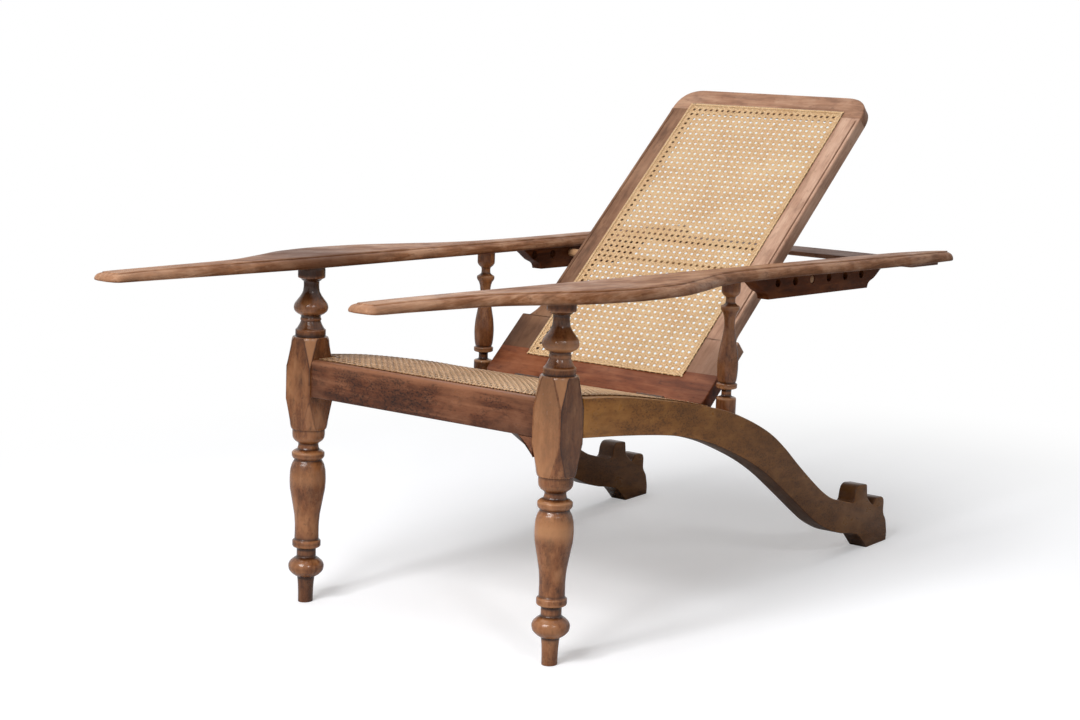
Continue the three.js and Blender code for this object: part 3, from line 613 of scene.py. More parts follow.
def sawn_curve(shares, count):
    """A smooth curve through shares of the run behind the leg and of the seat's front height."""
    knots = np.array([[block_half + a * rail_run, b * seat_front] for a, b in shares])
    padded = np.concatenate([knots[:1], knots, knots[-1:]])
    t = np.linspace(0, len(knots) - 1, count)
    i = np.minimum(t.astype(int), len(knots) - 2)
    w = (t - i)[:, None]
    p0, p1, p2, p3 = (padded[i + k] for k in range(4))
    v0, v1 = (p2 - p0) / 2, (p3 - p1) / 2
    cubic, square = 2 * p1 - 2 * p2 + v0 + v1, -3 * p1 + 3 * p2 - 2 * v0 - v1
    return cubic * w ** 3 + square * w ** 2 + v0 * w + p1


rail_top_curve = sawn_curve(rail_top, 72)
rail_bottom_curve = sawn_curve(rail_bottom, 60)[::-1]


def rail_top_at(reach):
    """Height of the rail's top edge at a distance behind the front legs."""
    return np.interp(reach, rail_top_curve[:, 0], rail_top_curve[:, 1])


def turned_over(points, faces, sign):
    """A shape of the left side as it is, or its mirror image for the right side if sign is -1."""
    return points * (sign, 1, 1), faces if sign > 0 else [face[::-1] for face in faces]


rail_wood = hardwood(
    "waxed_hardwood_side_rail", "#2c1507", "#94602c", "#bb8446", (0, 1, -0.12),
    grime=0.34, rough=(0.24, 0.44), gleam=0.2, figure=0.02, pitted=0.5, streaky=0.4,
)
turn = Matrix.Rotation(rake, 2)
corners = []
for along, up, rounding in foot_corners:
    corner = turn @ Vector((foot_reach - foot_length + along * foot_length, up * foot_height))
    corners.append([corner.x, corner.y, rounding * foot_height])
foot = rounded_corners([[*rail_top_curve[-1], 0], *corners, [*rail_bottom_curve[0], 0]])
rail_outline = np.concatenate([rail_top_curve, foot[1:-1], rail_bottom_curve])
rail_outline[:, 0] = np.maximum(rail_outline[:, 0], block_half + joint)
for side, sign in sides.items():
    points, faces = board(rail_outline, worn_edge(rail_inner, rail_outer, rail_ease))
    points, faces = turned_over(on_edge(points), faces, sign)
    # Darker towards the foot
    rail_tone_and_light = rail_darkening * share_along(points[:, 1], darkening_from, darkening_reach)
    # Shade is painted black on the sawn edge underneath and all round the foot. On top the left rail is made
    # paler, partly rubbed and partly a painted highlight, and the right one gets painted shade too.
    sawn_edge = slice(2 * len(rail_outline), -2 * len(rail_outline))
    reach, height = points[sawn_edge, 1], points[sawn_edge, 2]
    on_top = (reach < rail_top_curve[-1, 0]) & (height > rail_top_at(reach) - 0.01)
    rail_tone_and_light[sawn_edge] += np.where(on_top & (side == "left"), edge_highlight_and_rub, edge_shade)
    rail = wooden_piece(f"side_rail_{side}_sawn", stand(points), faces, rail_wood, groove=rail_tone_and_light)
    edit_mesh(rail, saw_at_floor, close_holes, turn_outward)
    belongs(rail, f"side_rail_{side}")

# ---------------------------------------------------------------- Rear arm posts
# Small turned posts of the same wood as the legs, tenoned into the side rails below and the
# arms above. Their feet are cut to the curve of the rail.
post_inset = 0.029
post_x = rail_outer - post_inset
post_reach = 0.490
post_radius = 0.0195
post_turning = [
    [0.95, -0.16], [0.95, 0.11], [0.88, 0.12], [0.6, 0.127],
    [0.48, 0.137], [0.47, 0.16], [0.5, 0.18],
    [0.8, 0.185], [0.98, 0.194], [0.99, 0.222], [0.82, 0.232],
    [0.88, 0.245], [0.97, 0.3], [1, 0.36], [0.93, 0.44], [0.72, 0.54], [0.54, 0.622], [0.5, 0.66],
    [0.55, 0.715],
    [0.69, 0.756], [0.82, 0.771], [0.9, 0.787], [0.89, 0.804], [0.67, 0.816],
    [0.47, 0.832], [0.45, 0.857], [0.49, 0.873],
    [0.67, 0.886], [0.87, 0.91], [0.89, 0.922], [0.89, 0.998],
]
post_base = rail_top_at(post_reach)
post_length = leg_height - post_base
for side, sign in sides.items():
    profile = [[r * post_radius, post_base + h * post_length] for r, h in post_turning]
    points, faces, groove, _ = turning(profile, 96, turning_step)
    points = np.array(points) + (sign * post_x, post_reach, 0)
    points[:, 2] = np.maximum(points[:, 2], rail_top_at(points[:, 1]) + joint)
    post = wooden_piece(f"rear_post_{side}_turned", stand(points), faces, leg_wood, 50, groove)
    belongs(post, f"rear_post_{side}")

# ---------------------------------------------------------------- Arms
# Long hardwood boards on top of the legs and posts, with a thumbnail moulding round their
# edge, faded and rubbed by hands and legs. Each runs out in front as a leg rest, swells beside
# the sitter and narrows to a tail. The ends are rounded off and planed thinner.
arm_thickness = 0.021
arm_fronts = {"left": 0.464, "right": 0.509}
arm_rear = 1.226
arm_tail_sweep = 0.026
arm_tail = 0.235
arm_taper = 0.005
arm_inner = 0.2534
arm_toe_out = 0.03
arm_narrow = 0.065
arm_wide = 0.151
end_droop = 0.0016
droop_length = 0.17
arm_stations = 150
across_steps = 6
swell_grime = {"left": 0.25, "right": 0.9}
# [share of the length behind the leg, share of the swell]
arm_swell = np.array([
    [-0.33, -0.02], [-0.245, 0.01], [-0.163, 0.08], [-0.082, 0.44], [0, 0.86], [0.082, 1], [0.163, 0.91],
    [0.245, 0.58], [0.327, 0.19], [0.41, 0], [0.53, -0.035], [0.69, 0.035], [0.855, 0.045], [0.955, -0.03],
])
# The moulding from below: [inset, height] as shares of the thickness
arm_edge = [
    [0.14, 0], [0.04, 0.04], [0, 0.14], [0, 0.25], [0.02, 0.36], [0.07, 0.48], [0.13, 0.59], [0.2, 0.68],
    [0.3, 0.76], [0.4, 0.82], [0.5, 0.86], [0.6, 0.88], [0.63, 0.94], [0.7, 1],
]
# How the inner and the outer edge close in at a rounded end, as shares of the width
tip_steps = np.array([0.25, 0.45, 0.6, 0.72, 0.82, 0.9, 0.955, 0.985, 1])
tip_shares = (([0, 0.5, 0.88, 1], [0, 0.0, 0.12, 0.34]), ([0, 0.7, 0.94, 1], [1, 0.955, 0.78, 0.52]))


def arm_edges(front):
    """Stations along an arm from its front tip to its tail, with the inner and outer edge at each."""
    first = max(arm_swell[0, 0] * arm_rear, arm_narrow - front)
    last = arm_swell[-1, 0] * arm_rear
    start = arm_narrow / 2 - front
    along = np.concatenate([tip_steps[::-1], np.zeros(arm_stations), tip_steps])
    y = np.concatenate([
        start + (-front - start) * tip_steps[::-1], np.linspace(start, last, arm_stations),
        last + (arm_rear - last) * tip_steps,
    ])
    held = np.clip(y, first, last)
    swell = smooth_through(arm_swell[:, 0] * arm_rear, arm_swell[:, 1], held)
    sweep = np.maximum(0, (y - arm_rear + arm_tail) / arm_tail)
    inner = arm_inner + arm_toe_out * y + arm_tail_sweep * sweep ** 2
    outer = arm_inner + arm_toe_out * held + arm_narrow + swell * (arm_wide - arm_narrow)
    shares = [smooth_through(*share, along) for share in tip_shares]
    return np.column_stack([y] + [inner + (outer - inner) * share for share in shares])


arm_wood = hardwood(
    "faded_hardwood_arm", "#4a2914", "#85593c", "#b38c70", (0, 1, 0),
    grime=0.5, rough=(0.34, 0.56), gleam=0.12, figure=0.011, streaky=1.4,
)
for side, sign in sides.items():
    front = arm_fronts[side]
    rows = arm_edges(front)
    outline = np.concatenate([rows[:, [2, 0]], rows[::-1, [1, 0]]])
    ring = len(outline)
    steps = [[inset * arm_thickness, up] for inset, up in arm_edge]
    points, faces = board(outline, steps)
    points, faces = list(points), faces[2:]
    # The flat faces, as strips from edge to edge, so that the ends can be planed down
    for level in (0, len(steps) - 1):
        grid = []
        for k in range(len(rows)):
            outer, inner = level * ring + k, level * ring + ring - 1 - k
            row = [outer]
            for j in range(1, across_steps):
                row.append(len(points))
                points.append(points[outer] + (points[inner] - points[outer]) * j / across_steps)
            grid.append(row + [inner])
        sheet = []
        for low, high in zip(grid, grid[1:]):
            sheet += [(low[j], high[j], high[j + 1], low[j + 1]) for j in range(across_steps)]
        sheet += [tuple(grid[0])[::-1], tuple(grid[-1])]
        faces += sheet if level else [face[::-1] for face in sheet]
    points = np.array(points)
    y, up = points[:, 1].copy(), points[:, 2].copy()
    planed = share_along(y, -arm_narrow, arm_narrow - front) * arm_taper
    droop = share_along(y, droop_length - front, -droop_length) ** 2
    droop += share_along(y, arm_rear - droop_length, droop_length) ** 2
    low, high = leg_height + planed, leg_height + arm_thickness - end_droop * droop
    points[:, 2] = low + (high - low) * up
    points, faces = turned_over(points, faces, sign)
    # Dirtier towards the tail, rubbed pale on the leg rest, and grimy beside the sitter
    wear_and_shade = 0.12 * share_along(y, 0.3, 0.4) - 0.5 * share_along(y, -0.2, -0.2)
    wear_and_shade += swell_grime[side] * np.exp(-(y / 0.15) ** 2)
    # Old wax lies in the quirk of the moulding, and shade is painted along its lower arris
    for edge_row, depth in ((1, 0.5), (2, 0.3), (11, 0.35), (12, 0.2)):
        wear_and_shade[edge_row * ring:(edge_row + 1) * ring] += depth
    arm = wooden_piece(f"arm_{side}_moulded", stand(points), faces, arm_wood, 50, wear_and_shade)
    edit_mesh(arm, turn_outward)
    belongs(arm, f"arm_{side}")

# ---------------------------------------------------------------- Brackets and rod
# Very dark hardwood brackets fixed under the arms, with a row of six drilled holes each and
# their ends cut to an ogee. The rod that the back leans on is of paler wood and passes through
# the third pair; its ends are domed.
bracket_starts = {"left": 0.534, "right": 0.588}
bracket_end = 1.007
bracket_height = 0.042
bracket_thickness = 0.026
bracket_ogee = 0.062
hole_count = 6
hole_radius = 0.0083
first_hole = 0.625
hole_pitch = 0.059
hole_drop = 0.013
drill_sides = 40
drill_half = 0.05
rod_radius = 0.008
rod_hole = 3
rod_step = 0.012
ogee = [
    [0, 0], [0.16, 0.12], [0.3, 0.25], [0.46, 0.42], [0.6, 0.55], [0.74, 0.63], [0.86, 0.7], [0.93, 0.77],
    [0.97, 0.86], [1, 1],
]


def bake_modifier(piece):
    """Makes what a piece's modifier gives its plain mesh."""
    old = piece.data
    state = bpy.context.evaluated_depsgraph_get()
    made = bpy.data.meshes.new_from_object(piece.evaluated_get(state))
    piece.modifiers.clear()
    piece.data = made
    bpy.data.meshes.remove(old)
    piece.data.name = piece.name


def cut_away(piece, points, faces):
    """Cuts a closed shape out of a piece."""
    cutter = add_mesh("cutter", points, faces)
    cut = piece.modifiers.new("cut", "BOOLEAN")
    cut.operation = "DIFFERENCE"
    cut.solver = "EXACT"
    cut.object = cutter
    bake_modifier(piece)
    bpy.data.meshes.remove(cutter.data)
    piece.data.shade_smooth()
    piece.data.set_sharp_from_angle(angle=math.radians(32))


turns = np.linspace(0, 2 * math.pi, drill_sides, endpoint=False)
circle = hole_radius * np.column_stack([np.cos(turns), np.sin(turns)])
drill, drill_faces = board(circle, [[0, -drill_half], [0, drill_half]])
drill = on_edge(drill)
bracket_wood = hardwood(
    "dark_hardwood_bracket", "#1c0c05", "#50270f", "#744321", (0, 1, 0),
    grime=0.45, rough=(0.34, 0.55), gleam=0.08, figure=0.012,
)
for side, sign in sides.items():
    top, start = leg_height - joint, bracket_starts[side]
    outline = [(start + a * bracket_ogee, top - b * bracket_height) for a, b in ogee]
    outline += [(bracket_end - a * bracket_ogee, top - b * bracket_height) for a, b in reversed(ogee)]
    inner = post_x - bracket_thickness / 2
    points, faces = board(outline, worn_edge(inner, inner + bracket_thickness, crisp_ease))
    points, faces = turned_over(on_edge(points), faces, sign)
    bracket = wooden_piece(f"arm_bracket_{side}_drilled", stand(points), faces, bracket_wood)
    centres = [
        (sign * post_x, first_hole + i * hole_pitch, leg_height - hole_drop) for i in range(hole_count)
    ]
    points, faces = [], []
    for centre in stand(centres):
        faces += [tuple(len(points) + k for k in face) for face in drill_faces]
        points += list(drill + centre)
    cut_away(bracket, points, faces)
    belongs(bracket, f"arm_bracket_{side}")

rod_y = first_hole + (rod_hole - 1) * hole_pitch
rod_z = leg_height - hole_drop
rod_half = post_x + bracket_thickness / 2
dome = [[0.0001, 0], [0.4, 0.06], [0.75, 0.2], [0.93, 0.42], [1, 0.8]]
profile = [[r * rod_radius, -rod_half + h * rod_radius / 2] for r, h in dome]
profile += [[rod_radius, x] for x in np.linspace(-rod_half + rod_step, rod_half - rod_step, 12)]
profile += [[r * rod_radius, rod_half - h * rod_radius / 2] for r, h in reversed(dome)]
points, faces, _, _ = turning(profile, 40, rod_step)
points = on_edge(np.array(points)) + (0, rod_y, rod_z)
pale_wood = hardwood("pale_hardwood_rod", "#6a482f", "#a27a57", "#c39c78", (1, 0, 0), grime=0.3)
rod = wooden_piece("support_rod_domed", stand(points), faces, pale_wood, 60)
belongs(rod, "support_rod", "rod")

# ---------------------------------------------------------------- Rear cross board and seat rail
# A thin hardwood board fixed up into the tails of both arms, and the plain rail tenoned
# between the side rails, which carries the back end of the seat cane and the hinges.
board_half = 0.325
board_width = 0.112
board_thickness = 0.009
board_rear = 1.200
board_corner = 0.009
board_ease = 0.0015
outline = rounded_corners([
    [x, y, board_corner] for x, y in (
        (-board_half, board_rear - board_width), (board_half, board_rear - board_width),
        (board_half, board_rear), (-board_half, board_rear),
    )
])
board_top = leg_height - joint
points, faces = board(outline, worn_edge(board_top - board_thickness, board_top, board_ease))
cross_wood = hardwood(
    "faded_hardwood_cross_board", "#33201a", "#6a4838", "#8e6c58", (1, 0, 0),
    grime=0.5, rough=(0.4, 0.6), gleam=0.15, figure=0.012,
)
cross_board = wooden_piece("rear_cross_board_planed", stand(points), faces, cross_wood)
belongs(cross_board, "rear_cross_board")

hinge_reach = 0.453
leaf_thickness = 0.0019
rear_rail_back = hinge_reach - leaf_thickness - 2 * joint
rear_rail_thickness = 0.038
rear_rail_depth = 0.050
rear_rail_front = rear_rail_back - rear_rail_thickness
rear_low = rail_top_at(rear_rail_back) - rear_rail_depth
section = rounded_corners([
    [rear_rail_front, rear_low, 0.002],
    [rear_rail_back, rear_low, 0.002],
    [rear_rail_back, rail_top_at(rear_rail_back), 0.002],
    [rear_rail_front, rail_top_at(rear_rail_front), 0.002],
])
half = rail_inner - joint
points, faces = board(section, [[0, x] for x in np.linspace(-half, half, 30)])
seat_rail = wooden_piece("rear_seat_rail_planed", stand(on_edge(points)), faces, rail_red)
belongs(seat_rail, "rear_seat_rail")

# ---------------------------------------------------------------- Back frame
# A hardwood frame, mortised and tenoned: two stiles with ears at their foot, a top rail with
# round corners and a dark red bottom rail. A bead runs along the outer arris of each stile
# above its ear.
hinge_stand_off = 0.0045
hinge_z = rail_top_at(hinge_reach) + hinge_stand_off
back_width = 0.468
back_length = 0.815
back_thickness = 0.028
stile_width = 0.059
top_rail_width = 0.058
bottom_rail_width = 0.070
ear_width = 0.031
ear_length = 0.156
ear_step = 0.020
back_chamfer = 0.014
back_corner = 0.058
bead_width = 0.009
bead_depth = 0.0035
quirk_depth = 0.0022
ease = 0.002
top_rail_ease = 0.003
bottom_rail_ease = 0.0022
inner_bevel = 0.013
outer = back_width / 2
opening = outer - stile_width
back_face = -hinge_stand_off
back_end = leaf_thickness + 2 * joint
rail_joint = back_end + bottom_rail_width
top_joint = back_end + back_length - top_rail_width
rod_distance = math.hypot(rod_y - hinge_reach, rod_z - hinge_z)
rod_offset = rod_radius + joint + back_thickness + hinge_stand_off
back_angle = math.atan2(rod_z - hinge_z, rod_y - hinge_reach) + math.asin(rod_offset / rod_distance)
back_turn = Matrix.Rotation(back_angle, 3, "X")
up_the_back = tuple(chair_turn @ back_turn @ Vector((0, 1, 0)))


def lean(points):
    """Points of the back, drawn flat from its hinge axis, placed as it leans on the rod."""
    return stand(np.asarray(points, float) @ np.array(back_turn).T + np.array([0, hinge_reach, hinge_z]))


def join_close_points(shape):
    """Makes one point of any that fall on the same spot."""
    bmesh.ops.remove_doubles(shape, verts=shape.verts, dist=0.00001)


stile_woods = {
    "left": hardwood(
        "pale_hardwood_stile", "#6b4c3a", "#a8836d", "#c9a891", up_the_back,
        grime=0.4, rough=(0.38, 0.6), gleam=0.2, figure=0.012,
    ),
    "right": hardwood(
        "brown_hardwood_stile", "#3a2316", "#73503a", "#967156", up_the_back,
        grime=0.5, rough=(0.36, 0.58), gleam=0.2, figure=0.012,
    ),
}
top_wood = hardwood(
    "faded_hardwood_top_rail", "#57382a", "#946c53", "#b69278", (1, 0, 0),
    grime=0.45, rough=(0.36, 0.58), gleam=0.2, figure=0.011,
)
bottom_wood = hardwood(
    "dark_red_hardwood_bottom_rail", "#2a120b", "#6b381f", "#8a563a", (1, 0, 0),
    grime=0.4, rough=(0.3, 0.5), gleam=0.2, figure=0.013,
)
# Cross-section of a stile: [distance in from the outer edge, depth below the face], with the
# bead, and the same points with the bead left out
bead_section = [
    [bead_width / 2 * (1 - math.cos(a)) * 0.86, bead_depth * (1 - math.sin(a))]
    for a in np.linspace(0, math.pi, 9)
]
bead_section += [[bead_width * 0.97, quirk_depth], [bead_width * 1.1, 0.0]]
plain_section = [
    [ease * (1 - math.cos(a)), ease * (1 - math.sin(a))] for a in np.linspace(0, math.pi / 2, 5)
]
plain_section += [[ease + i * (bead_width * 1.1 - ease) / 6, 0.0] for i in range(1, 7)]
bead_section, plain_section = np.array(bead_section), np.array(plain_section)
# Painted shade in the quirk beside the bead
bead_quirk_shade = [0.9 if 0.5 * bead_width < u < 1.05 * bead_width and v > 0.0015 else 0 for u, v in bead_section]
ear_top = back_end + ear_length
ear_outline = rounded_corners([
    [outer + ear_width, rail_joint + joint, 0],
    [outer + ear_width, ear_top, 0.004],
    [outer + ear_width / 2, ear_top - ear_step / 4, ear_step / 2],
    [outer, ear_top + ear_step, ear_step],
    [outer, top_joint - joint, 0],
])
# The outline is followed from the bottom joint upwards, closer where the bead begins and ends
distance = np.concatenate([[0], np.cumsum(np.linalg.norm(np.diff(ear_outline, axis=0), axis=1))])
top_end = distance[-1]
bead_from = distance[-2] + 0.012
stations = np.concatenate([
    np.linspace(0, distance[1], 12), distance, np.linspace(distance[-2], bead_from + 0.016, 9),
    np.linspace(bead_from + 0.03, top_end - 0.02, 40), np.linspace(top_end - 0.016, top_end, 8),
])
low = back_face - back_thickness
for side, sign in sides.items():
    rings, tone_layer = [], []
    for s in np.unique(np.round(stations, 6)):
        edge_x = np.interp(s, distance, ear_outline[:, 0])
        edge_y = np.interp(s, distance, ear_outline[:, 1])
        bead = share_along(s, bead_from, 0.014) * share_along(s, top_end - 0.002, -0.008)
        front = plain_section * (1 - bead) + bead_section * bead
        ring = [[edge_x - u, back_face - v] for u, v in front]
        ring += [[opening + ease, back_face], [opening + 0.0006, back_face - 0.0006]]
        ring += [[opening, back_face - ease], [opening, back_face - 0.008]]
        ring += [[opening + inner_bevel, low + 0.001]]
        ring += [[opening + inner_bevel + 0.001, low], [edge_x - ease, low], [edge_x, low + ease]]
        rings.append([[x, edge_y, z] for x, z in ring])
        tone_layer += [bead * depth for depth in bead_quirk_shade] + [0] * (len(ring) - len(bead_quirk_shade))
    points = np.array(rings).reshape(-1, 3) * (sign, 1, 1)
    faces = [face[::-1] for face in ring_faces(len(ring), len(rings))]
    # Darker at the ear and towards the foot of the back
    stile_darkening = np.maximum(tone_layer, 0.7 * share_along(points[:, 1], ear_top + 0.03, -0.06))
    stile_darkening = np.maximum(stile_darkening, 0.24 * share_along(points[:, 1], 0.45, -0.15))
    stile = wooden_piece(f"back_stile_{side}_beaded", lean(points), faces, stile_woods[side], 30, stile_darkening)
    edit_mesh(stile, join_close_points, turn_outward)
    belongs(stile, f"back_stile_{side}", "back")


def rail_across(name, corners, ease, joint_y, inward, material):
    """A rail of the back from its corners. The edge that meets the stiles stays square, and is
    bevelled behind between them, where the cane has to pass clear of it."""
    outline = rounded_corners(corners, 14)
    points, faces = board(outline, worn_edge(back_face - back_thickness, back_face, ease))
    at_joint = np.tile(np.abs(outline[:, 1] - joint_y) < 1e-6, len(points) // len(outline))
    points[at_joint, 1] = joint_y
    open_part = at_joint & (np.abs(points[:, 0]) < opening + 0.0005)
    rear = points[:, 2] < back_face - back_thickness / 2
    points[open_part & rear, 1] += inward * inner_bevel
    return wooden_piece(name, lean(points), faces, material)


joint_ends = (-opening - 0.001, -opening, opening, opening + 0.001)
top_rail = rail_across("back_top_rail_rounded", [
    [-outer, top_joint, 0], *([x, top_joint, 0] for x in joint_ends), [outer, top_joint, 0],
    [outer, back_end + back_length, back_corner], [-outer, back_end + back_length, back_corner],
], top_rail_ease, top_joint, 1, top_wood)
belongs(top_rail, "back_top_rail", "back")
ear = outer + ear_width
bottom_rail = rail_across("back_bottom_rail_chamfered", [
    [-ear, back_end, back_chamfer], [ear, back_end, back_chamfer], [ear, rail_joint, 0],
    *([x, rail_joint, 0] for x in reversed(joint_ends)), [-ear, rail_joint, 0],
], bottom_rail_ease, rail_joint, -1, bottom_wood)
belongs(bottom_rail, "back_bottom_rail", "back")

# ---------------------------------------------------------------- Cane
# Seat and back are woven by hand from split rattan in six strands: a pair along and a pair
# across at every pitch, and a strand each way on the slant, which leaves eight-sided
# openings. The strands go down drilled holes in a row around each opening.
cane_pitch = 0.0143
strand_width = 0.0045
strand_height = 0.0007
pair_gap = 0.0046
weave_lift = 0.0006
binder_width = 0.0058
binder_rise = 0.0012
tie_end = (0, binder_width * 0.56, -0.0008)
tie_top = (0, 0, 0.0018)
hole_border = 0.012
net_stand_off = joint + 0.0006


def weave_tree():
    """Geometry Nodes for a net, drawn in pitches from its corner and then stretched to its size,
    with a binder and ties over its row of holes. Also the identifiers of its inputs."""
    tree = bpy.data.node_groups.new("six_way_cane", "GeometryNodeTree")
    face = tree.interface
    face.new_socket("Geometry", in_out="OUTPUT", socket_type="NodeSocketGeometry")
    names = {}
    for name, kind in (
        ("Hole row", "Geometry"), ("Columns", "Int"), ("Rows", "Int"),
        ("Across", "Float"), ("Along", "Float"), ("Lift", "Float"), ("Pair gap", "Float"),
        ("Strand width", "Float"), ("Strand height", "Float"), ("Finish", "Material"),
    ):
        socket = face.new_socket(name, in_out="INPUT", socket_type=f"NodeSocket{kind}")
        names[name] = socket.identifier
    given = node(tree, "NodeGroupInput").outputs
    columns, rows = given["Columns"], given["Rows"]
    pitch = node(tree, "ShaderNodeCombineXYZ", {0: given["Across"], 1: given["Along"], 2: given["Lift"]})
    half_gap = node(tree, "ShaderNodeVectorMath", {
        0: (0.5, 0.5, 0), "Scale": given["Pair gap"],
    }, operation="SCALE")
    half_gap = node(tree, "ShaderNodeVectorMath", {0: half_gap, 1: pitch}, operation="DIVIDE")
    odd = node(tree, "GeometryNodeSplineParameter").outputs["Index"]
    odd = node(tree, "ShaderNodeMath", {0: odd, 1: 2.0}, operation="MODULO")
    strands = node(tree, "GeometryNodeJoinGeometry")

    def family(count, step, copies, start, spacing, even_rise, odd_rise):
        """Parallel strands: each a line of points half a pitch apart, rising and falling as it is woven."""
        line = node(tree, "GeometryNodeMeshLine", {"Count": count, "Offset": step}, mode="OFFSET")
        line = node(tree, "GeometryNodeMeshToCurve", {0: line})
        row = node(tree, "GeometryNodeMeshLine", {
            "Count": copies, "Start Location": start, "Offset": spacing,
        }, mode="OFFSET")
        placed = node(tree, "GeometryNodeInstanceOnPoints", {"Points": row, "Instance": line})
        placed = node(tree, "GeometryNodeRealizeInstances", {0: placed})
        rise = node(tree, "ShaderNodeMath", {
            0: odd, 1: odd_rise - even_rise, 2: even_rise,
        }, operation="MULTIPLY_ADD")
        rise = node(tree, "ShaderNodeCombineXYZ", {2: rise})
        placed = node(tree, "GeometryNodeSetPosition", {"Geometry": placed, "Offset": rise})
        tree.links.new(placed.outputs[0], strands.inputs[0])

    long_count, wide_count = (
        node(tree, "ShaderNodeMath", {0: number, 1: 2.0, 2: 1.0}, operation="MULTIPLY_ADD")
        for number in (rows, columns)
    )
    for sign, even, uneven in ((-1, -0.6, -0.9), (1, 0.5, 0.9)):
        x_start, y_start = (
            node(tree, "ShaderNodeVectorMath", {
                0: half_gap, 1: (sign * x, sign * y, 0), 2: (0.5 * x, 0.5 * y, 0),
            }, operation="MULTIPLY_ADD")
            for x, y in ((1, 0), (0, 1))
        )
        family(long_count, (0, 0.5, 0), columns, x_start, (1, 0, 0), even, uneven)
        family(wide_count, (0.5, 0, 0), rows, y_start, (0, 1, 0), -0.4 * even, -0.4 * uneven)
    # Slanting strands start in the holes of the front row, and outside the net where they
    # enter it from the side
    slants = node(tree, "ShaderNodeMath", {0: columns, 1: rows}, operation="ADD")
    before = node(tree, "ShaderNodeMath", {0: rows, 1: -1.0, 2: 0.5}, operation="MULTIPLY_ADD")
    before = node(tree, "ShaderNodeCombineXYZ", {0: before})
    family(long_count, (0.5, 0.5, 0), slants, before, (1, 0, 0), 1.7, -1.7)
    family(long_count, (-0.5, 0.5, 0), slants, (0.5, 0, 0), (1, 0, 0), -1.7, 1.7)
    # What lies outside the rows of holes is left out
    place = node(tree, "GeometryNodeInputPosition")
    parts = node(tree, "ShaderNodeSeparateXYZ", {0: place}).outputs
    outside = 0.0
    for at, end in ((parts[0], columns), (parts[1], rows)):
        for larger, smaller in ((at, end), (0.0, at)):
            past = node(tree, "ShaderNodeMath", {0: larger, 1: smaller}, operation="SUBTRACT")
            outside = node(tree, "ShaderNodeMath", {0: outside, 1: past}, operation="MAXIMUM")
    outside = node(tree, "ShaderNodeMath", {0: outside, 1: 0.01}, operation="GREATER_THAN")
    net = node(tree, "GeometryNodeDeleteGeometry", {
        "Geometry": strands, "Selection": outside,
    }, domain="POINT")
    place = node(tree, "ShaderNodeVectorMath", {0: place, 1: pitch}, operation="MULTIPLY")
    net = node(tree, "GeometryNodeSetPosition", {"Geometry": net, "Position": place})
    # The strand's section: flat below, rounded on its shiny upper side
    crown = node(tree, "ShaderNodeMath", {0: given["Strand width"], 1: 0.5}, operation="MULTIPLY")
    flat = node(tree, "GeometryNodeCurvePrimitiveQuadrilateral", {
        "Height": given["Strand height"], "Bottom Width": given["Strand width"], "Top Width": crown,
        "Offset": 0.0,
    }, mode="TRAPEZOID")
    net = node(tree, "GeometryNodeSetCurveNormal", {"Curve": net}, mode="Z_UP")
    net = node(tree, "GeometryNodeCurveToMesh", {"Curve": net, "Profile Curve": flat, "Fill Caps": True})
    # The binder: a wider strip laid over the row of holes, tied down by a loop at each hole
    hole_row = node(tree, "GeometryNodeMeshToCurve", {0: given["Hole row"]})
    hole_row = node(tree, "GeometryNodeSetPosition", {"Geometry": hole_row, "Offset": (0, 0, binder_rise)})
    hole_row = node(tree, "GeometryNodeSetCurveNormal", {"Curve": hole_row}, mode="Z_UP")
    band = node(tree, "GeometryNodeCurvePrimitiveQuadrilateral", {
        "Height": given["Strand height"], "Bottom Width": binder_width, "Top Width": binder_width * 0.6,
        "Offset": 0.0,
    }, mode="TRAPEZOID")
    binder = node(tree, "GeometryNodeCurveToMesh", {"Curve": hole_row, "Profile Curve": band})
    tie = node(tree, "GeometryNodeCurveQuadraticBezier", {
        "Resolution": 6, "Start": (0, -tie_end[1], tie_end[2]), "Middle": tie_top, "End": tie_end,
    })
    tie = node(tree, "GeometryNodeSetCurveNormal", {"Curve": tie}, mode="Z_UP")
    tie = node(tree, "GeometryNodeCurveToMesh", {"Curve": tie, "Profile Curve": flat, "Fill Caps": True})
    onward = node(tree, "FunctionNodeAlignRotationToVector", {
        "Vector": node(tree, "GeometryNodeInputTangent"),
    }, axis="X", pivot_axis="Z")
    ties = node(tree, "GeometryNodeInstanceOnPoints", {
        "Points": hole_row, "Instance": tie, "Rotation": onward,
    })
    everything = node(tree, "GeometryNodeJoinGeometry")
    for part in (net, binder, ties):
        tree.links.new(part.outputs[0], everything.inputs[0])
    real = node(tree, "GeometryNodeRealizeInstances", {0: everything})
    dressed = node(tree, "GeometryNodeSetMaterial", {"Geometry": real, "Material": given["Finish"]})
    node(tree, "NodeGroupOutput", {0: dressed})
    return tree, names


six_way_cane, cane_inputs = weave_tree()


def woven(name, columns, rows, width, length, hole_row, finish):
    """A woven net as a plain mesh, drawn flat from its corner, with its binder over a closed
    row of holes given by its corners."""
    holes = []
    for (x0, y0), (x1, y1) in zip(hole_row, hole_row[1:] + hole_row[:1]):
        count = max(1, round(math.hypot(x1 - x0, y1 - y0) / cane_pitch))
        holes += [(x0 + (x1 - x0) * i / count, y0 + (y1 - y0) * i / count, 0) for i in range(count)]
    piece = add_mesh(name, holes, [], [(i, (i + 1) % len(holes)) for i in range(len(holes))])
    weave = piece.modifiers.new("weave", "NODES")
    weave.node_group = six_way_cane
    for size, value in {
        "Columns": columns, "Rows": rows, "Across": width / columns, "Along": length / rows,
        "Lift": weave_lift, "Pair gap": pair_gap, "Strand width": strand_width,
        "Strand height": strand_height, "Finish": finish,
    }.items():
        weave[cane_inputs[size]] = value
    piece.update_tag()
    bake_modifier(piece)
    return piece


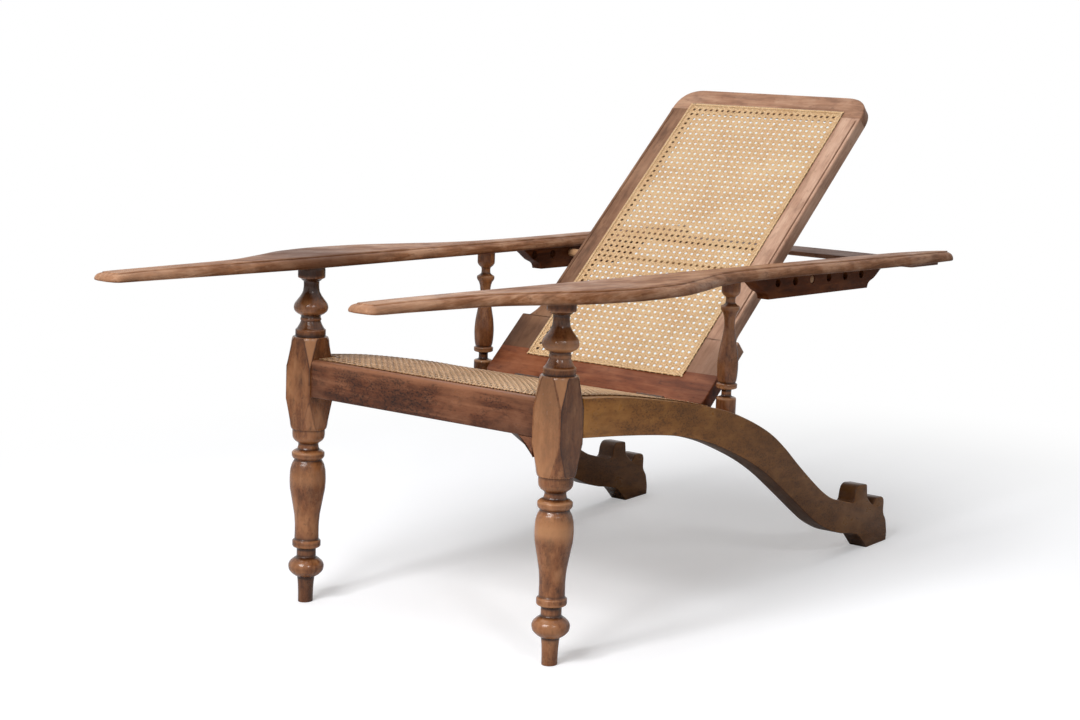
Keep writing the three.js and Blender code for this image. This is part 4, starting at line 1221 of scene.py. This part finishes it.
def place_points(piece, placed):
    """Moves a piece's points to where a function of them all puts them."""
    flat = np.zeros(len(piece.data.vertices) * 3)
    piece.data.vertices.foreach_get("co", flat)
    piece.data.vertices.foreach_set("co", placed(flat.reshape(-1, 3)).ravel())
    piece.data.update()


def rattan(name, deep, body, pale, left_paling=0.0):
    """Split rattan: a hard, slightly glossy straw-coloured skin that yellows in patches 70 mm
    across, with fibres of 2 mm, and may be paler towards the left side of the chair."""
    made, tree = new_material(name)
    place = node(tree, "ShaderNodeTexCoord").outputs["Object"]
    patches = node(tree, "ShaderNodeTexNoise", {
        "Vector": place, "Scale": 14.0, "Detail": 4.0, "Roughness": 0.6,
    })
    fibres = node(tree, "ShaderNodeTexNoise", {"Vector": place, "Scale": 420.0, "Detail": 2.0})
    mixed = node(tree, "ShaderNodeMix", {0: 0.72, 2: patches, 3: fibres})
    ramp = node(tree, "ShaderNodeValToRGB", {0: mixed})
    set_stops(ramp, (0.34, linear(deep)), (0.64, linear(pale)), (0.48, linear(body)))
    leftward = node(tree, "ShaderNodeSeparateXYZ", {0: place})
    share = node(tree, "ShaderNodeMapRange", {0: leftward, 1: -0.05, 2: 0.25, 3: 0.0, 4: left_paling})
    colour = node(tree, "ShaderNodeMix", {0: share, 6: ramp, 7: linear(pale)}, data_type="RGBA").outputs[2]
    bump = node(tree, "ShaderNodeBump", {"Height": fibres, "Strength": 0.4, "Distance": 0.0004})
    skin = node(tree, "ShaderNodeBsdfPrincipled", {
        "Base Color": colour, "Roughness": 0.42, "Normal": bump, "IOR": 1.5,
    })
    node(tree, "ShaderNodeOutputMaterial", {"Surface": skin})
    return made


back_columns, back_rows = 26, 50
field_half = opening + hole_border
field_low, field_high = rail_joint - hole_border, top_joint + hole_border
field = (2 * field_half, field_high - field_low)
corners = [(0, 0), (field[0], 0), field, (0, field[1])]
back_finish = rattan("split_rattan_back", "#c49869", "#dfb687", "#efd1a4")
back_cane = woven("back_cane_woven", back_columns, back_rows, *field, corners, back_finish)
place_points(back_cane, lambda net: lean(net + (-field_half, field_low, back_face + net_stand_off)))
belongs(back_cane, "back_cane", "back")

seat_columns, seat_rows = 42, 30
seat_half = rail_inner + hole_border
seat_low = front_rail_face + front_rail_thickness - hole_border
seat_high = rear_rail_front + hole_border
field = (2 * seat_half, seat_high - seat_low)
# The seat's front corners are notched round the leg blocks
leg_gap = 0.007
notch_half, notch_back = leg_x - block_half - leg_gap, block_half + leg_gap - seat_low
notch_left, notch_right = seat_half - notch_half, seat_half + notch_half
corners = [
    (notch_left, 0), (notch_right, 0), (notch_right, notch_back), (field[0], notch_back),
    field, (0, field[1]), (0, notch_back), (notch_left, notch_back),
]
seat_finish = rattan("split_rattan_seat", "#8c6540", "#ae8155", "#e4bf96", 0.9)
seat_cane = woven("seat_cane_woven", seat_columns, seat_rows, *field, corners, seat_finish)


def cut_notches(shape):
    """Takes out what lies in the notches of the seat."""
    gone = []
    for face in shape.faces:
        middle = face.calc_center_median()
        beside = abs(middle.x - seat_half) > notch_half + binder_width / 2
        if beside and middle.y < notch_back - binder_width / 2:
            gone.append(face)
    bmesh.ops.delete(shape, geom=gone, context="FACES")


def over_rails(net):
    """Points of the flat seat, laid over the front rail and along the tops of the side rails."""
    reach = net[:, 1] + seat_low
    line = np.where(reach < block_half, seat_front, rail_top_at(np.maximum(reach, block_half)))
    return stand(np.column_stack([net[:, 0] - seat_half, reach, net[:, 2] + line + net_stand_off]))


edit_mesh(seat_cane, cut_notches, close_holes)
place_points(seat_cane, over_rails)
belongs(seat_cane, "seat_cane")

# ---------------------------------------------------------------- Hinges
# Two wrought butt hinges, brown with age, their leaves let in flush on the rear seat rail and
# the foot of the back. The solids have their shape, and only need the metal.
iron, tree = new_material("wrought_iron_aged")
place = node(tree, "ShaderNodeTexCoord").outputs["Object"]
rust = node(tree, "ShaderNodeTexNoise", {"Vector": place, "Scale": 260.0, "Detail": 4.0})
ramp = node(tree, "ShaderNodeValToRGB", {0: rust})
set_stops(ramp, (0.4, linear("#4a4440")), (0.66, linear("#6b4a35")))
dull = node(tree, "ShaderNodeMapRange", {0: rust, 1: 0.4, 2: 0.66, 3: 0.45, 4: 0.8})
bump = node(tree, "ShaderNodeBump", {"Height": rust, "Strength": 0.5, "Distance": 0.0003})
skin = node(tree, "ShaderNodeBsdfPrincipled", {
    "Base Color": ramp, "Roughness": dull, "Normal": bump, "Metallic": 0.8,
})
node(tree, "ShaderNodeOutputMaterial", {"Surface": skin})
for name in ("hinge_seat_leaf", "hinge_back_leaf", "hinge_pin"):
    for side in sides:
        leaf = frame["nodes"][f"{name}_{side}"]
        for slot in leaf.material_slots:
            slot.material = iron
